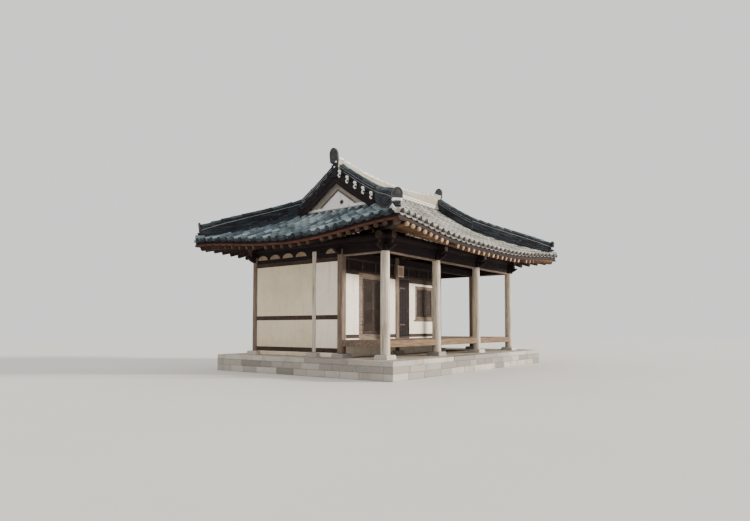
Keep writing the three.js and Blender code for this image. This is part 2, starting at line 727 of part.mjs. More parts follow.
function mainRidge() {
  const { end, half, depth, steps } = MAIN_RIDGE;
  const rows = Array.from({ length: steps + 1 }, (_, i) => end * (1 - (2 * i) / steps));
  const foot = RIDGE_BASE - depth;
  const wall = sheet(rows, [-1, 1], (x, side) => [x, -side * half, ridgeTop(x), foot]);
  const ends = [-1, 1].map((sign) => {
    const x0 = sign * (end - END_TILE.thick);
    const base = ridgeTop(end) - END_TILE.lap;
    const thick = sign * END_TILE.thick;
    const outline = [
      [x0, base],
      [x0 + thick, base],
      [x0 + thick + sign * END_TILE.lean, END_TILE.top],
      [x0 + sign * END_TILE.lean, END_TILE.top],
    ];
    return plate(sign > 0 ? outline : outline.reverse(), "y", [-END_TILE.half, END_TILE.half]);
  });
  return cut(join([wall, ...ends]), raisedTiles);
}

// A side ridge runs down beside the verge and then out along the hip to the corner.
function sideRidge(signX, signY) {
  const x = VERGE - SIDE_RIDGE.inset;
  const turnY = x - HIP_SHIFT;
  const footY = CORNER.y - SIDE_RIDGE.end;
  const half = SIDE_RIDGE.half;
  const topAt = (d, px, rise) => slopeHeight(d) + lift(px, d) + rise;
  const mirror = signX * signY;
  const order = mirror > 0 ? [1, -1] : [-1, 1];
  const head = MAIN_RIDGE.half + GAP;
  const between = (a, b, steps) => Array.from({ length: steps + 1 }, (_, i) => a + ((b - a) * i) / steps);
  const fall = between(head, turnY, SIDE_RIDGE.steps.upper);
  const upper = sheet(fall, order, (d, side) => {
    const top = topAt(d, x, SIDE_RIDGE.top);
    return [signX * (x + side * half), signY * d, top, slopeHeight(d) - SIDE_RIDGE.depth.upper];
  });
  const along = between(turnY, footY, SIDE_RIDGE.steps.lower);
  const lower = sheet(along, order, (d, side) => {
    const share = (d - turnY) / (footY - turnY);
    const straight = SIDE_RIDGE.top + (SIDE_RIDGE.foot - SIDE_RIDGE.top) * share;
    const rise = straight + 4 * SIDE_RIDGE.crown * share * (1 - share);
    const off = (side * half) / Math.SQRT2;
    const top = topAt(d, d + HIP_SHIFT, rise);
    const under = top - rise - SIDE_RIDGE.depth.lower;
    return [signX * (d + HIP_SHIFT + off), signY * (d - off), top, under];
  });
  const foot = topAt(footY, footY + HIP_SHIFT, 0);
  const way = footY * Math.SQRT2;
  const tileFoot = foot + SIDE_RIDGE.foot / 2;
  const tileTop = foot + FOOT_TILE.top;
  const outline = [
    [way - END_TILE.thick, tileFoot],
    [way, tileFoot],
    [way + FOOT_TILE.lean, tileTop],
    [way + FOOT_TILE.lean - END_TILE.thick, tileTop],
  ];
  const endTile = onHip(plate(outline, "y", around(0, 2 * (half + FOOT_TILE.wider))), signX, signY);
  return cut(join([upper, lower, endTile]), raisedTiles);
}

// Assembly
const house = new THREE.Group();

function add(name, solid, style) {
  const mesh = new THREE.Mesh(geometryOf(solid), new THREE.MeshStandardMaterial(STYLE[style]));
  mesh.name = name;
  house.add(mesh);
}

add("stone_platform", stonePlatform(), "stone");
LINES.forEach((x, i) => add("front_column_" + (i + 1), roundColumn(x, FRONT), "column"));
LINES.forEach((x, i) => add("inner_post_" + (i + 1), squarePost(x, INNER, POST), "timber"));
LINES.forEach((x, i) => add("back_post_" + (i + 1), squarePost(x, BACK, POST), "timber"));
add("end_post", squarePost(LINES[0], endPostY, SMALL_POST), "column");
add("tie_beams", tieBeams(), "timber");
add("eave_purlins", eavePurlins(), "timber");
[LINES[1], LINES[2]].forEach((x, i) => add("crossbeam_" + (i + 1), crossbeam(x), "timber"));
add("upper_roof_frame", upperFrame(), "timber");

add("plank_floor", plankFloor(), "floor");
add("room_floor", roomFloor(), "stone");
const endPostFace = SMALL_POST / 2 + GAP;
add("end_wall_front", endWall(LINES[0], [INNER + postFace, endPostY - endPostFace]), "plaster");
add("end_wall_back", endWall(LINES[0], [endPostY + endPostFace, BACK - postFace]), "plaster");
add("hall_side_wall", endWall(LINES[2], [INNER + postFace, BACK - postFace]), "plaster");
for (const bay of [0, 1, 2]) {
  const span = [LINES[bay] + postFace, LINES[bay + 1] - postFace];
  add("back_wall_" + (bay + 1), longWall(span, BACK), "plaster");
}

add("front_wall_left", frontWallLeft(), "plaster");
add("front_wall_middle", frontWallMiddle(), "plaster");
add("front_wall_right", frontWallRight(), "plaster");
const doorHinges = [...frameHinges(leftLeaf), ...frameHinges(rightLeaf)];
const doorFrame = openingFrame([doorLeft, doorRight], [FLOOR_TOP, DOOR.head], doorOpening, doorHinges);
add("door_frame", doorFrame, "timber");
add("door_leaf_left", leafOf(leftLeaf), "door");
add("door_leaf_right", leafOf(rightLeaf), "door");
const plankHinges = frameHinges(plankLeaf);
const plankLevels = [FLOOR_TOP, PLANK.head];
add("plank_door_frame", openingFrame(plankFrame, plankLevels, plankOpening, plankHinges), "timber");
add("plank_door", leafOf(plankLeaf), "door");
add("window_frame", windowFrame(), "timber");
add("window_sash", windowSash(), "door");
add("transom_left", transom(0, DOOR.head), "timber");
add("transom_right", transom(1, PLANK.head), "timber");

for (const [side, signX] of [["left", -1], ["right", 1]]) {
  const beams = [-1, 1].map((signY) => cut(cornerBeam(signX, signY, 0), loweredTiles));
  add("rafters_" + side, join([deckSlope(side), ...raftersOf(side), ...beams]), "rafter");
}
for (const [side, signY] of [["front", -1], ["back", 1]]) {
  const beams = [-1, 1].map((signX) => cornerBeam(signX, signY, GAP));
  add("rafters_" + side, cut(join([deckSlope(side), ...raftersOf(side)]), beams), "rafter");
}
for (const side of SIDES) add("tiles_" + side, tileSlope(side, GAP), "tile");
add("gable_wall_left", gableWall(-1), "plaster");
add("gable_wall_right", gableWall(1), "plaster");
add("bargeboards_left", bargeboards(-1), "timber");
add("bargeboards_right", bargeboards(1), "timber");
add("main_ridge", mainRidge(), "tile");
for (const [end, signX] of [["left", -1], ["right", 1]])
  for (const [side, signY] of [["front", -1], ["back", 1]])
    add("side_ridge_" + end + "_" + side, sideRidge(signX, signY), "tile");

export default house;
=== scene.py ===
# %% [markdown]
# # A hanok house with a hip-and-gable tiled roof
# A hanok is a traditional Korean timber house. This lesson dresses the plain solids of a small
# one. The solids set every size and place, and here they get tiles, rafters, boards, stones and
# finishes, one piece at a time.

import math
import random

import bpy
import numpy as np
from mathutils import Matrix, Vector


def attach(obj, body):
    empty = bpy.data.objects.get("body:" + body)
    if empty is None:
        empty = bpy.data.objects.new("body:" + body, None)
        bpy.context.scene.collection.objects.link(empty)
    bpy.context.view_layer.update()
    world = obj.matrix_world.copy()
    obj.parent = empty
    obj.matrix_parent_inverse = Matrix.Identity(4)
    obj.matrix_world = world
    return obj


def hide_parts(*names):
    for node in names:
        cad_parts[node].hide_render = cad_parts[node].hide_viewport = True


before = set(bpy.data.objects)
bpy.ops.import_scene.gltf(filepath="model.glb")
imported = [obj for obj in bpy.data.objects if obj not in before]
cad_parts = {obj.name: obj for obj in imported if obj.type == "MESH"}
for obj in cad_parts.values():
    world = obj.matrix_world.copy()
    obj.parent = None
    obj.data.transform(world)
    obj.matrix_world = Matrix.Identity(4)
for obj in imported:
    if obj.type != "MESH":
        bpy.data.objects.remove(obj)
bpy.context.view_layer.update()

# %% [markdown]
# ## Camera, light and floor
# The house is seen from low down, 1.2 m over the floor, across its front left corner. The camera
# stands there, with a small upward shift. One wide sun from the veranda side leaves the gable end
# in shade, and a pale floor throws warm light up under the eaves.

# %% Camera
EYE, LOOK_UP, LOOK_ASIDE = (-14.729, -10.316, 1.2), 2.83, -53.15
bpy.ops.object.select_all(action="DESELECT")
bpy.ops.object.camera_add(location=EYE, rotation=(math.radians(90 + LOOK_UP), 0, math.radians(LOOK_ASIDE)))
camera = bpy.context.object
camera.data.lens = 27.07
camera.data.sensor_width = 36
camera.data.shift_y = 0.0529
camera.data.clip_end = 200
bpy.context.scene.camera = camera
print("camera at", [round(v, 2) for v in camera.location])

# %% Light
bpy.ops.object.light_add(type="SUN", location=(3, -9, 9))
sun = bpy.context.object
sun.rotation_euler = Vector((0.56, -0.80, 0.25)).to_track_quat("Z", "Y").to_euler()
sun.data.energy = 6.2
sun.data.angle = math.radians(8)
sun.data.color = (1.0, 0.95, 0.86)
world = bpy.data.worlds.new("soft_sky")
bpy.context.scene.world = world
world.use_nodes = True
background = world.node_tree.nodes["Background"].inputs
background["Color"].default_value = (1.0, 0.985, 0.97, 1)
background["Strength"].default_value = 1.1

# %% [markdown]
# ## A small language for finishes
# A finish is a net of nodes. To write it as sums, one class wraps a socket and turns `+`, `-` and
# `*` into Math nodes. A second class makes any other node in one call and feeds the shader.

# %% Values that can be summed
class Value:
    """A number or a vector that changes over a surface."""

    def __init__(self, finish, socket):
        self.finish = finish
        self.socket = socket

    def sum(self, operation, first, second):
        return self.finish.node("Math", {"operation": operation}, {0: first, 1: second})

    def __add__(self, other):
        return self.sum("ADD", self, other)

    def __sub__(self, other):
        return self.sum("SUBTRACT", self, other)

    def __rsub__(self, other):
        return self.sum("SUBTRACT", other, self)

    def __mul__(self, other):
        return self.sum("MULTIPLY", self, other)

    def between(self, low, high):
        """0 below low, 1 above high, and a soft step from one to the other."""
        settings = {"interpolation_type": "SMOOTHSTEP"}
        return self.finish.node("MapRange", settings, {"Value": self, "From Min": low, "From Max": high})

    __radd__ = __add__
    __rmul__ = __mul__

# %% Finishes
class Finish:
    """A material, written as a picture of what the surface does."""

    def __init__(self, name, roughness):
        self.material = bpy.data.materials.new(name)
        self.material.use_nodes = True
        self.tree = self.material.node_tree
        self.shader = self.tree.nodes["Principled BSDF"]
        self.shader.inputs["Roughness"].default_value = roughness
        self.shader.inputs["Specular IOR Level"].default_value = 0.25
        self.place = self.node("TexCoord", output="Object")

    def feed(self, socket, value):
        if isinstance(value, Value):
            self.tree.links.new(value.socket, socket)
        elif socket.type == "RGBA":
            socket.default_value = (*value, 1)
        else:
            socket.default_value = value

    def node(self, kind, settings=None, values=None, output=0):
        node = self.tree.nodes.new("ShaderNode" + kind)
        for name, value in (settings or {}).items():
            if name == "stops":
                elements = node.color_ramp.elements
                elements.remove(elements[1])
                elements[0].position = value[0][0]
                elements[0].color = (*value[0][1], 1)
                for at, colour in value[1:]:
                    elements.new(at).color = (*colour, 1)
            else:
                setattr(node, name, value)
        for name, value in (values or {}).items():
            self.feed(node.inputs[name], value)
        return Value(self, node.outputs[output])

    def stretch(self, scale, place=None):
        return self.node("VectorMath", {"operation": "MULTIPLY"}, {0: place or self.place, 1: scale})

    def noise(self, scale, detail=4, place=None, rough=0.55):
        values = {"Vector": place or self.place, "Scale": scale, "Detail": detail, "Roughness": rough}
        return self.node("TexNoise", None, values)

    def attribute(self, name, output="Fac"):
        return self.node("Attribute", {"attribute_name": name}, output=output)

    def ramp(self, value, *stops):
        return self.node("ValToRGB", {"stops": stops}, {"Fac": value})

    def mix(self, factor, first, second):
        return self.node("Mix", {"data_type": "RGBA"}, {0: factor, 6: first, 7: second}, output=2)

    def coat(self, colour, relief, depth, roughness=None):
        """Feeds the shader: its colour, the relief in metres, and where it is rougher."""
        bump = self.node("Bump", None, {"Height": relief, "Distance": depth, "Strength": 0.9})
        self.feed(self.shader.inputs["Base Color"], colour)
        self.feed(self.shader.inputs["Normal"], bump)
        if roughness is not None:
            self.feed(self.shader.inputs["Roughness"], roughness)
        return self.material

# %% [markdown]
# ## Wood
# Old pine greys and cracks along its grain. Each timber carries its own coordinates, measured
# along and across the stick, in an attribute called `grain`. One finish then follows a rafter, a
# post or a beam whichever way it points.

# %% Wood finish
def wood(name, dark, mid, light, cracks=0.6, stretch=(1.1, 16, 16)):
    finish = Finish(name, 0.85)
    place = finish.attribute("grain", "Vector")
    along = finish.stretch(stretch, place)
    fibre = finish.noise(1.6, 6, along, 0.62)
    split = finish.noise(1.0, 3, finish.stretch((0.45, 22, 22), place), 0.5)
    crack = split.between(0.655, 0.70) * cracks
    patch = finish.noise(1.3, 3)
    colour = finish.ramp(fibre, (0.3, dark), (0.52, mid), (0.74, light))
    colour = finish.mix(patch.between(0.42, 0.75) * 0.55, colour, dark)
    colour = finish.mix(crack, colour, tuple(v * 0.22 for v in dark))
    return finish.coat(colour, fibre * 0.35 - crack, 0.006, 0.72 + fibre * 0.25)


# Dark old wood, darkened further as painted shade for the beams, boards and battens in the shade of the eaves.
dark_wood_and_shade = wood("dark_beam_wood", (0.006, 0.0032, 0.0042), (0.014, 0.0075, 0.0085), (0.034, 0.020, 0.019))
post_wood = wood("post_wood", (0.095, 0.066, 0.050), (0.19, 0.138, 0.105), (0.32, 0.25, 0.20))
pale_wood = wood("pale_column_wood", (0.30, 0.25, 0.195), (0.54, 0.475, 0.39), (0.74, 0.68, 0.59), cracks=0.8)
# The rafters and their sawn ends come in paler copies for the sunlit front, as painted sunlight, and darker copies for
# the other sides, as painted shade. The ends are also pale as end grain.
sunlit_rafter_wood = wood("sunned_rafter_wood", (0.070, 0.036, 0.020), (0.155, 0.086, 0.048), (0.27, 0.165, 0.098))
shaded_rafter_wood = wood("shaded_rafter_wood", (0.011, 0.0055, 0.0045), (0.027, 0.014, 0.010), (0.058, 0.033, 0.023))
fascia_wood = wood("eave_board_wood", (0.046, 0.017, 0.012), (0.098, 0.034, 0.021), (0.165, 0.066, 0.040))
grey_wood = wood("weathered_board_wood", (0.20, 0.18, 0.155), (0.36, 0.335, 0.295), (0.54, 0.51, 0.46))
floor_wood = wood("floor_board_wood", (0.10, 0.060, 0.035), (0.20, 0.13, 0.078), (0.32, 0.22, 0.14))
sunlit_end_wood = wood("rafter_end_wood", (0.20, 0.13, 0.080), (0.37, 0.26, 0.175), (0.54, 0.41, 0.30), stretch=(9, 9, 9))
shaded_end_wood = wood(
    "shaded_end_wood", (0.030, 0.018, 0.012), (0.065, 0.040, 0.027), (0.13, 0.088, 0.06), stretch=(9, 9, 9)
)
pale_board_wood = wood("blank_board_wood", (0.26, 0.17, 0.11), (0.38, 0.27, 0.18), (0.50, 0.38, 0.27))
door_wood = wood("door_wood", (0.024, 0.015, 0.012), (0.055, 0.036, 0.028), (0.11, 0.078, 0.058))


def boarded(name, dark, mid, light, width):
    """A sheet of boards: wood with a dark joint every so often across the grain."""
    finish = Finish(name, 0.85)
    place = finish.attribute("grain", "Vector")
    down = finish.node("SeparateXYZ", None, {"Vector": place}, output=1)
    joint = 1 - finish.node("Math", {"operation": "PINGPONG"}, {0: down, 1: width / 2}).between(0.001, 0.004)
    fibre = finish.noise(1.6, 6, finish.stretch((1.1, 18, 18), place), 0.62)
    board = finish.node("Math", {"operation": "SNAP"}, {0: down, 1: width})
    tone = finish.node("TexWhiteNoise", {"noise_dimensions": "1D"}, {"W": board})
    colour = finish.ramp(fibre * 0.7 + tone * 0.3, (0.3, dark), (0.5, mid), (0.72, light))
    colour = finish.mix(finish.noise(1.4, 4).between(0.45, 0.72) * 0.5, colour, dark)
    colour = finish.mix(joint * 0.85, colour, tuple(v * 0.2 for v in dark))
    return finish.coat(colour, fibre * 0.3 - joint, 0.006)


# The boards over the rafters likewise: a paler copy as painted sunlight and a darker one as painted shade.
sunlit_soffit_wood = boarded("sunned_soffit_wood", (0.110, 0.058, 0.030), (0.235, 0.132, 0.070), (0.37, 0.235, 0.135), 0.16)
shaded_soffit_wood = boarded(
    "shaded_soffit_wood", (0.010, 0.0055, 0.0045), (0.024, 0.013, 0.0095), (0.05, 0.03, 0.021), 0.16
)
print("wood finishes made")

# %% [markdown]
# ## Fired tile, lime and plaster
# The tiles are grey fired clay. Rain leaves pale streaks down the slope, lichen leaves spots, and
# every tile comes out of the kiln a little different: the attribute `tone` holds that. The ridges
# and tile ends are bedded in white lime, and the walls are clay with a thin lime coat.

# %% Tile finish
def fired_tile(name, dark, mid, pale, worn, dust):
    finish = Finish(name, 0.72)
    tone = finish.attribute("tone")
    grain = finish.attribute("grain", "Vector")
    streak = finish.noise(2.2, 5, finish.stretch((9, 1.2, 4), grain), 0.6)
    speck = finish.noise(38, 3)
    cloud = finish.noise(0.9, 4)
    body = finish.ramp(tone * 0.45 + streak * 0.55, (0.2, dark), (0.5, mid), (0.82, pale))
    body = finish.mix(cloud.between(0.45, 0.7) * dust, body, worn)
    lichen = finish.noise(6.5, 6, rough=0.7).between(0.60, 0.68)
    body = finish.mix(lichen * 0.5, body, worn)
    body = finish.mix(speck.between(0.62, 0.72) * 0.35, body, pale)
    return finish.coat(body, speck * 0.5 + streak * 0.5, 0.004, 0.62 + streak * 0.3)


# The front slope faces the sun, so its tiles take paler copies of the tile and valley finishes as painted sunlight.
# The other slopes take darker copies as painted shade. The valley finishes are darker than the cover finishes: painted
# shade between the covers.
shade_tile = fired_tile(
    "weathered_tile", (0.020, 0.031, 0.039), (0.095, 0.135, 0.160), (0.38, 0.46, 0.49), (0.52, 0.60, 0.61), 0.50
)
sunlit_tile = fired_tile(
    "bleached_tile", (0.20, 0.188, 0.165), (0.36, 0.34, 0.305), (0.55, 0.525, 0.48), (0.60, 0.575, 0.525), 0.6
)
soot_tile = fired_tile(
    "sooty_tile", (0.012, 0.011, 0.013), (0.030, 0.028, 0.032), (0.080, 0.075, 0.080), (0.13, 0.125, 0.125), 0.35
)
# A near-black tile finish for the dark tiles of the side ridges and the verge. It is also painted shade in the tiles'
# hollow ends, on the drips of the shaded eaves and on the lumps under the corner tiles.
dark_tile_and_shade = fired_tile(
    "dark_tile", (0.006, 0.007, 0.010), (0.015, 0.018, 0.024), (0.050, 0.060, 0.072), (0.12, 0.14, 0.15), 0.25
)
# A near-white tile finish: a painted highlight on the drips of the sunlit front eave and on the main ridge's cap.
lip_tile = fired_tile(
    "sunlit_lip_tile", (0.46, 0.44, 0.40), (0.66, 0.64, 0.59), (0.82, 0.80, 0.75), (0.86, 0.84, 0.80), 0.5
)
sunlit_slope_valley_shade = fired_tile(
    "bleached_valley_tile",
    (0.030, 0.028, 0.025), (0.075, 0.070, 0.062), (0.16, 0.15, 0.135), (0.22, 0.205, 0.185), 0.35
)
shade_valley = fired_tile(
    "weathered_valley_tile", (0.012, 0.018, 0.022), (0.034, 0.050, 0.060), (0.10, 0.14, 0.155), (0.16, 0.21, 0.22), 0.3
)

# %% Lime and plaster finishes
def plaster(name, clean, stained, dirty, pale_share, relief=0.004):
    finish = Finish(name, 0.94)
    cloud = finish.noise(1.1, 5, rough=0.6)
    rain = finish.noise(1.3, 4, finish.stretch((5, 5, 0.55)))
    trowel = finish.noise(7, 4, finish.stretch((1, 1, 2.2)))
    grit = finish.noise(120, 2)
    colour = finish.mix(cloud.between(0.40, 0.68) * (1 - pale_share), clean, stained)
    colour = finish.mix(rain.between(0.55, 0.75) * 0.5, colour, dirty)
    hair = finish.noise(3.1, 8, rough=0.72)
    crack = (1 - hair.between(0.492, 0.500)) * hair.between(0.484, 0.492)
    colour = finish.mix(crack * 0.55, colour, dirty)
    return finish.coat(colour, trowel * 0.7 + grit * 0.2 - crack * 0.4, relief, 0.86 + grit * 0.12)


wall_plaster = plaster("wall_plaster", (0.90, 0.82, 0.70), (0.80, 0.705, 0.58), (0.58, 0.47, 0.35), 0.4)
tan_plaster = plaster("clay_wall_plaster", (0.76, 0.66, 0.49), (0.66, 0.55, 0.38), (0.48, 0.39, 0.27), 0.3)
# The arches' dark tan is partly clay and partly painted shade.
arch_plaster = plaster("arch_plaster", (0.33, 0.25, 0.175), (0.25, 0.185, 0.13), (0.15, 0.11, 0.08), 0.3)
gable_plaster = plaster("gable_plaster", (0.60, 0.60, 0.59), (0.46, 0.45, 0.43), (0.31, 0.29, 0.27), 0.3)
panel_plaster = plaster("white_panel_plaster", (0.83, 0.83, 0.82), (0.72, 0.71, 0.69), (0.52, 0.50, 0.47), 0.5)
lime = plaster("ridge_lime", (0.86, 0.85, 0.81), (0.70, 0.68, 0.63), (0.40, 0.38, 0.34), 0.5, 0.006)
cream_lime = plaster("cream_ridge_lime", (0.44, 0.39, 0.31), (0.34, 0.30, 0.235), (0.21, 0.18, 0.14), 0.3, 0.006)
old_lime = plaster("old_joint_lime", (0.36, 0.36, 0.35), (0.27, 0.27, 0.262), (0.16, 0.16, 0.155), 0.4, 0.006)
clay = plaster("roof_clay", (0.24, 0.17, 0.12), (0.18, 0.125, 0.085), (0.11, 0.075, 0.05), 0.4, 0.008)

# %% [markdown]
# ## Stone, paper, iron and beaten earth
# Granite is a mix of pale and dark grains. The doors are backed with mulberry paper, which is
# matt, slightly uneven and brown with years of smoke from the floor heating. The hinges and rings
# are forged iron, brown-black with rust.

# %% Stone finish
def granite(name, pale, mid, dark):
    finish = Finish(name, 0.9)
    grain = finish.noise(70, 3, rough=0.7)
    tone = finish.attribute("tone")
    stain = finish.noise(1.7, 5, rough=0.62)
    chisel = finish.noise(16, 5)
    colour = finish.ramp(grain * 0.7 + tone * 0.3, (0.30, dark), (0.5, mid), (0.68, pale))
    colour = finish.mix(stain.between(0.45, 0.72) * 0.5, colour, tuple(v * 0.6 for v in mid))
    return finish.coat(colour, chisel * 0.8 + grain * 0.2, 0.008)


stone = granite("granite", (0.55, 0.51, 0.45), (0.38, 0.35, 0.31), (0.17, 0.155, 0.14))
base_stone = granite("base_stone_granite", (0.60, 0.57, 0.52), (0.44, 0.41, 0.37), (0.20, 0.19, 0.17))

# %% Paper, earth and iron finishes
def soft_coat(name, colour, spots, scale, roughness, depth):
    finish = Finish(name, roughness)
    cloud = finish.noise(scale, 5, rough=0.6)
    fine = finish.noise(scale * 14, 4)
    tint = finish.mix(cloud.between(0.38, 0.7), colour, spots)
    tint = finish.mix(fine.between(0.55, 0.75) * 0.4, tint, spots)
    return finish.coat(tint, cloud * 0.5 + fine * 0.5, depth, roughness - 0.08 + fine * 0.14)


paper = soft_coat("smoked_mulberry_paper", (0.13, 0.115, 0.102), (0.080, 0.068, 0.062), 3.0, 0.9, 0.0012)
floor_paper = soft_coat("oiled_floor_paper", (0.52, 0.38, 0.19), (0.40, 0.27, 0.12), 2.4, 0.42, 0.001)
earth = soft_coat("beaten_earth", (0.46, 0.39, 0.30), (0.34, 0.28, 0.21), 1.8, 0.95, 0.012)
iron = soft_coat("forged_iron", (0.045, 0.038, 0.034), (0.12, 0.055, 0.03), 22, 0.6, 0.0015)
# A flat near-black finish: painted shadow inside the gable vent and in the open ends of the front cover tiles.
shadow = soft_coat("dark_inside", (0.012, 0.011, 0.010), (0.02, 0.018, 0.016), 6, 0.95, 0.001)
pale_floor = soft_coat("studio_floor", (0.72, 0.70, 0.66), (0.70, 0.68, 0.64), 0.3, 0.95, 0.0005)

# %% Floor
bpy.ops.mesh.primitive_circle_add(vertices=96, radius=60, fill_type="NGON", location=(0, 0, -0.002))
studio_floor = bpy.context.object
studio_floor.name = "studio_floor"
studio_floor.data.materials.append(pale_floor)

# %% [markdown]
# ## Sticks, copies and joined pieces
# A timber is modelled lying along X at the origin, with its edges taken off, because it is easy to
# shape there. Its grain is written down before it is laid in place. What repeats is modelled once,
# and each copy gets a grain and a tone of its own.

# %% Modelling helpers
rng = random.Random(7)
put = Matrix.Translation


def turned(angle, axis):
    return Matrix.Rotation(angle, 4, axis)


def axes(x, y, z):
    """The turn that points a piece's own axes along three directions."""
    return Matrix((x, y, z)).transposed().to_4x4()


def jitter(size):
    return rng.uniform(-size, size)


def deselect():
    bpy.ops.object.select_all(action="DESELECT")


def choose(piece):
    """Makes a piece the only one selected, and the active one."""
    deselect()
    piece.select_set(True)
    bpy.context.view_layer.objects.active = piece
    return piece


def added(shape, **settings):
    """Adds one of Blender's basic shapes and sets its place and turn into its mesh."""
    deselect()
    getattr(bpy.ops.mesh, f"primitive_{shape}_add")(**settings)
    bpy.ops.object.transform_apply()
    return bpy.context.object


def hoop(radius, thick, segments, place, turn):
    return added(
        "torus", major_radius=radius, minor_radius=thick, major_segments=segments, minor_segments=8,
        location=place, rotation=turn,
    )


def edit(piece, *steps, kind=None, wanted=None):
    """Runs edit-mode steps on a piece: on all of it, or on the items of a kind that a test accepts."""
    choose(piece)
    bpy.ops.object.mode_set(mode="EDIT")
    if kind:
        bpy.ops.mesh.select_mode(type={"vertices": "VERT", "edges": "EDGE", "polygons": "FACE"}[kind])
        bpy.ops.mesh.select_all(action="DESELECT")
        bpy.ops.object.mode_set(mode="OBJECT")
        for item in getattr(piece.data, kind):
            item.select = wanted(item)
        bpy.ops.object.mode_set(mode="EDIT")
    else:
        bpy.ops.mesh.select_all(action="SELECT")
    for step in steps:
        step()
    bpy.ops.object.mode_set(mode="OBJECT")
    return piece


def cut(piece, place, facing, fill=True):
    """Cuts a piece along a plane and clears the side that the plane faces."""
    settings = {"plane_co": place, "plane_no": facing, "clear_outer": True, "use_fill": fill}
    return edit(piece, lambda: bpy.ops.mesh.bisect(**settings))


def outward(piece):
    return edit(piece, lambda: bpy.ops.mesh.normals_make_consistent(inside=False))


def smooth(piece, angle=35):
    choose(piece)
    bpy.ops.object.shade_smooth_by_angle(angle=math.radians(angle))
    return piece


def thicken(piece, thick, offset):
    modifier = choose(piece).modifiers.new("thicken", "SOLIDIFY")
    modifier.thickness, modifier.offset = thick, offset
    bpy.ops.object.modifier_apply(modifier=modifier.name)
    return piece


def joined(parts):
    """Joins parts into the first of them."""
    choose(parts[0])
    for part in parts[1:]:
        part.select_set(True)
    if len(parts) > 1:
        bpy.ops.object.join()
    return parts[0]


def grained(piece):
    """Writes each vertex's own place into the attribute `grain`, shifted to a new part of the tree."""
    mesh = piece.data
    if "grain" not in mesh.attributes:
        mesh.attributes.new("grain", "FLOAT_VECTOR", "POINT")
        mesh.attributes.new("tone", "FLOAT", "POINT")
    points = np.empty(len(mesh.vertices) * 3, np.float32)
    mesh.vertices.foreach_get("co", points)
    shift = np.array([rng.uniform(-9, 9) for _ in range(3)], np.float32)
    mesh.attributes["grain"].data.foreach_set("vector", (points.reshape(-1, 3) + shift).ravel())
    mesh.attributes["tone"].data.foreach_set("value", np.full(len(mesh.vertices), rng.random(), np.float32))
    return piece


def mark_ends(piece):
    """The two end faces of a stick along X take its second finish, if it has one."""
    for face in piece.data.polygons:
        face.material_index = 1 if abs(face.normal.x) > 0.99 else 0
    return piece


def block(size, soften=0.008):
    piece = added("cube", size=1, scale=size)
    if soften:
        edit(piece, lambda: bpy.ops.mesh.bevel(offset=soften, segments=1))
    return grained(mark_ends(piece))


def run_of(piece, edge):
    """How far an edge runs along X."""
    first, second = (piece.data.vertices[index].co.x for index in edge.vertices)
    return abs(first - second)


def log(length, radius, sides=20, soften=0.006):
    piece = added("cylinder", vertices=sides, radius=radius, depth=length, rotation=(0, math.pi / 2, 0))
    bevel = lambda: bpy.ops.mesh.bevel(offset=soften, segments=1)
    edit(piece, bevel, kind="edges", wanted=lambda edge: run_of(piece, edge) < 1e-4)
    return grained(mark_ends(smooth(piece, 40)))


def lying(start, end, up=(0, 0, 1)):
    """The place of a stick that is modelled along X: its middle, turned from start to end."""
    start, end = Vector(start), Vector(end)
    along = (end - start).normalized()
    side = Vector(up).cross(along)
    side = side.normalized() if side.length > 1e-4 else Vector((0, 1, 0))
    turn = axes(along, side, along.cross(side))
    return put((start + end) / 2) @ turn


def laid(piece, place):
    piece.data.transform(place)
    if place.determinant() < 0:
        piece.data.flip_normals()
    return piece


def timber(start, end, width, height, soften=0.008, up=(0, 0, 1)):
    length = (Vector(end) - Vector(start)).length
    return laid(block((length, width, height), soften), lying(start, end, up))


def round_timber(start, end, radius, sides=20):
    length = (Vector(end) - Vector(start)).length
    return laid(log(length, radius, sides), lying(start, end))


def swept(size, cuts, place):
    """A cube cut across many times, whose corners a rule then puts in place along a curve."""
    stick = added("cube", size=1)
    divide = lambda: bpy.ops.mesh.subdivide(number_cuts=cuts)
    edit(stick, divide, kind="edges", wanted=lambda edge: run_of(stick, edge) > 0.5)
    grained(mark_ends(stick))
    grain = stick.data.attributes["grain"].data
    for vertex in stick.data.vertices:
        share, side, level = vertex.co.x + 0.5, vertex.co.y, vertex.co.z
        shift = grain[vertex.index].vector - vertex.co
        grain[vertex.index].vector = shift + Vector((vertex.co.x * size[0], side * size[1], level * size[2]))
        vertex.co = place(share, side, level)
    stick.data.update()
    return outward(stick)


def slab(low, high, soften=0.006, finish=None, ends=None):
    """A block between two corners, in its finish if one is given."""
    size = [b - a for a, b in zip(low, high)]
    middle = [(a + b) / 2 for a, b in zip(low, high)]
    piece = laid(block(size, soften), put(middle))
    return painted(piece, finish, ends) if finish else piece

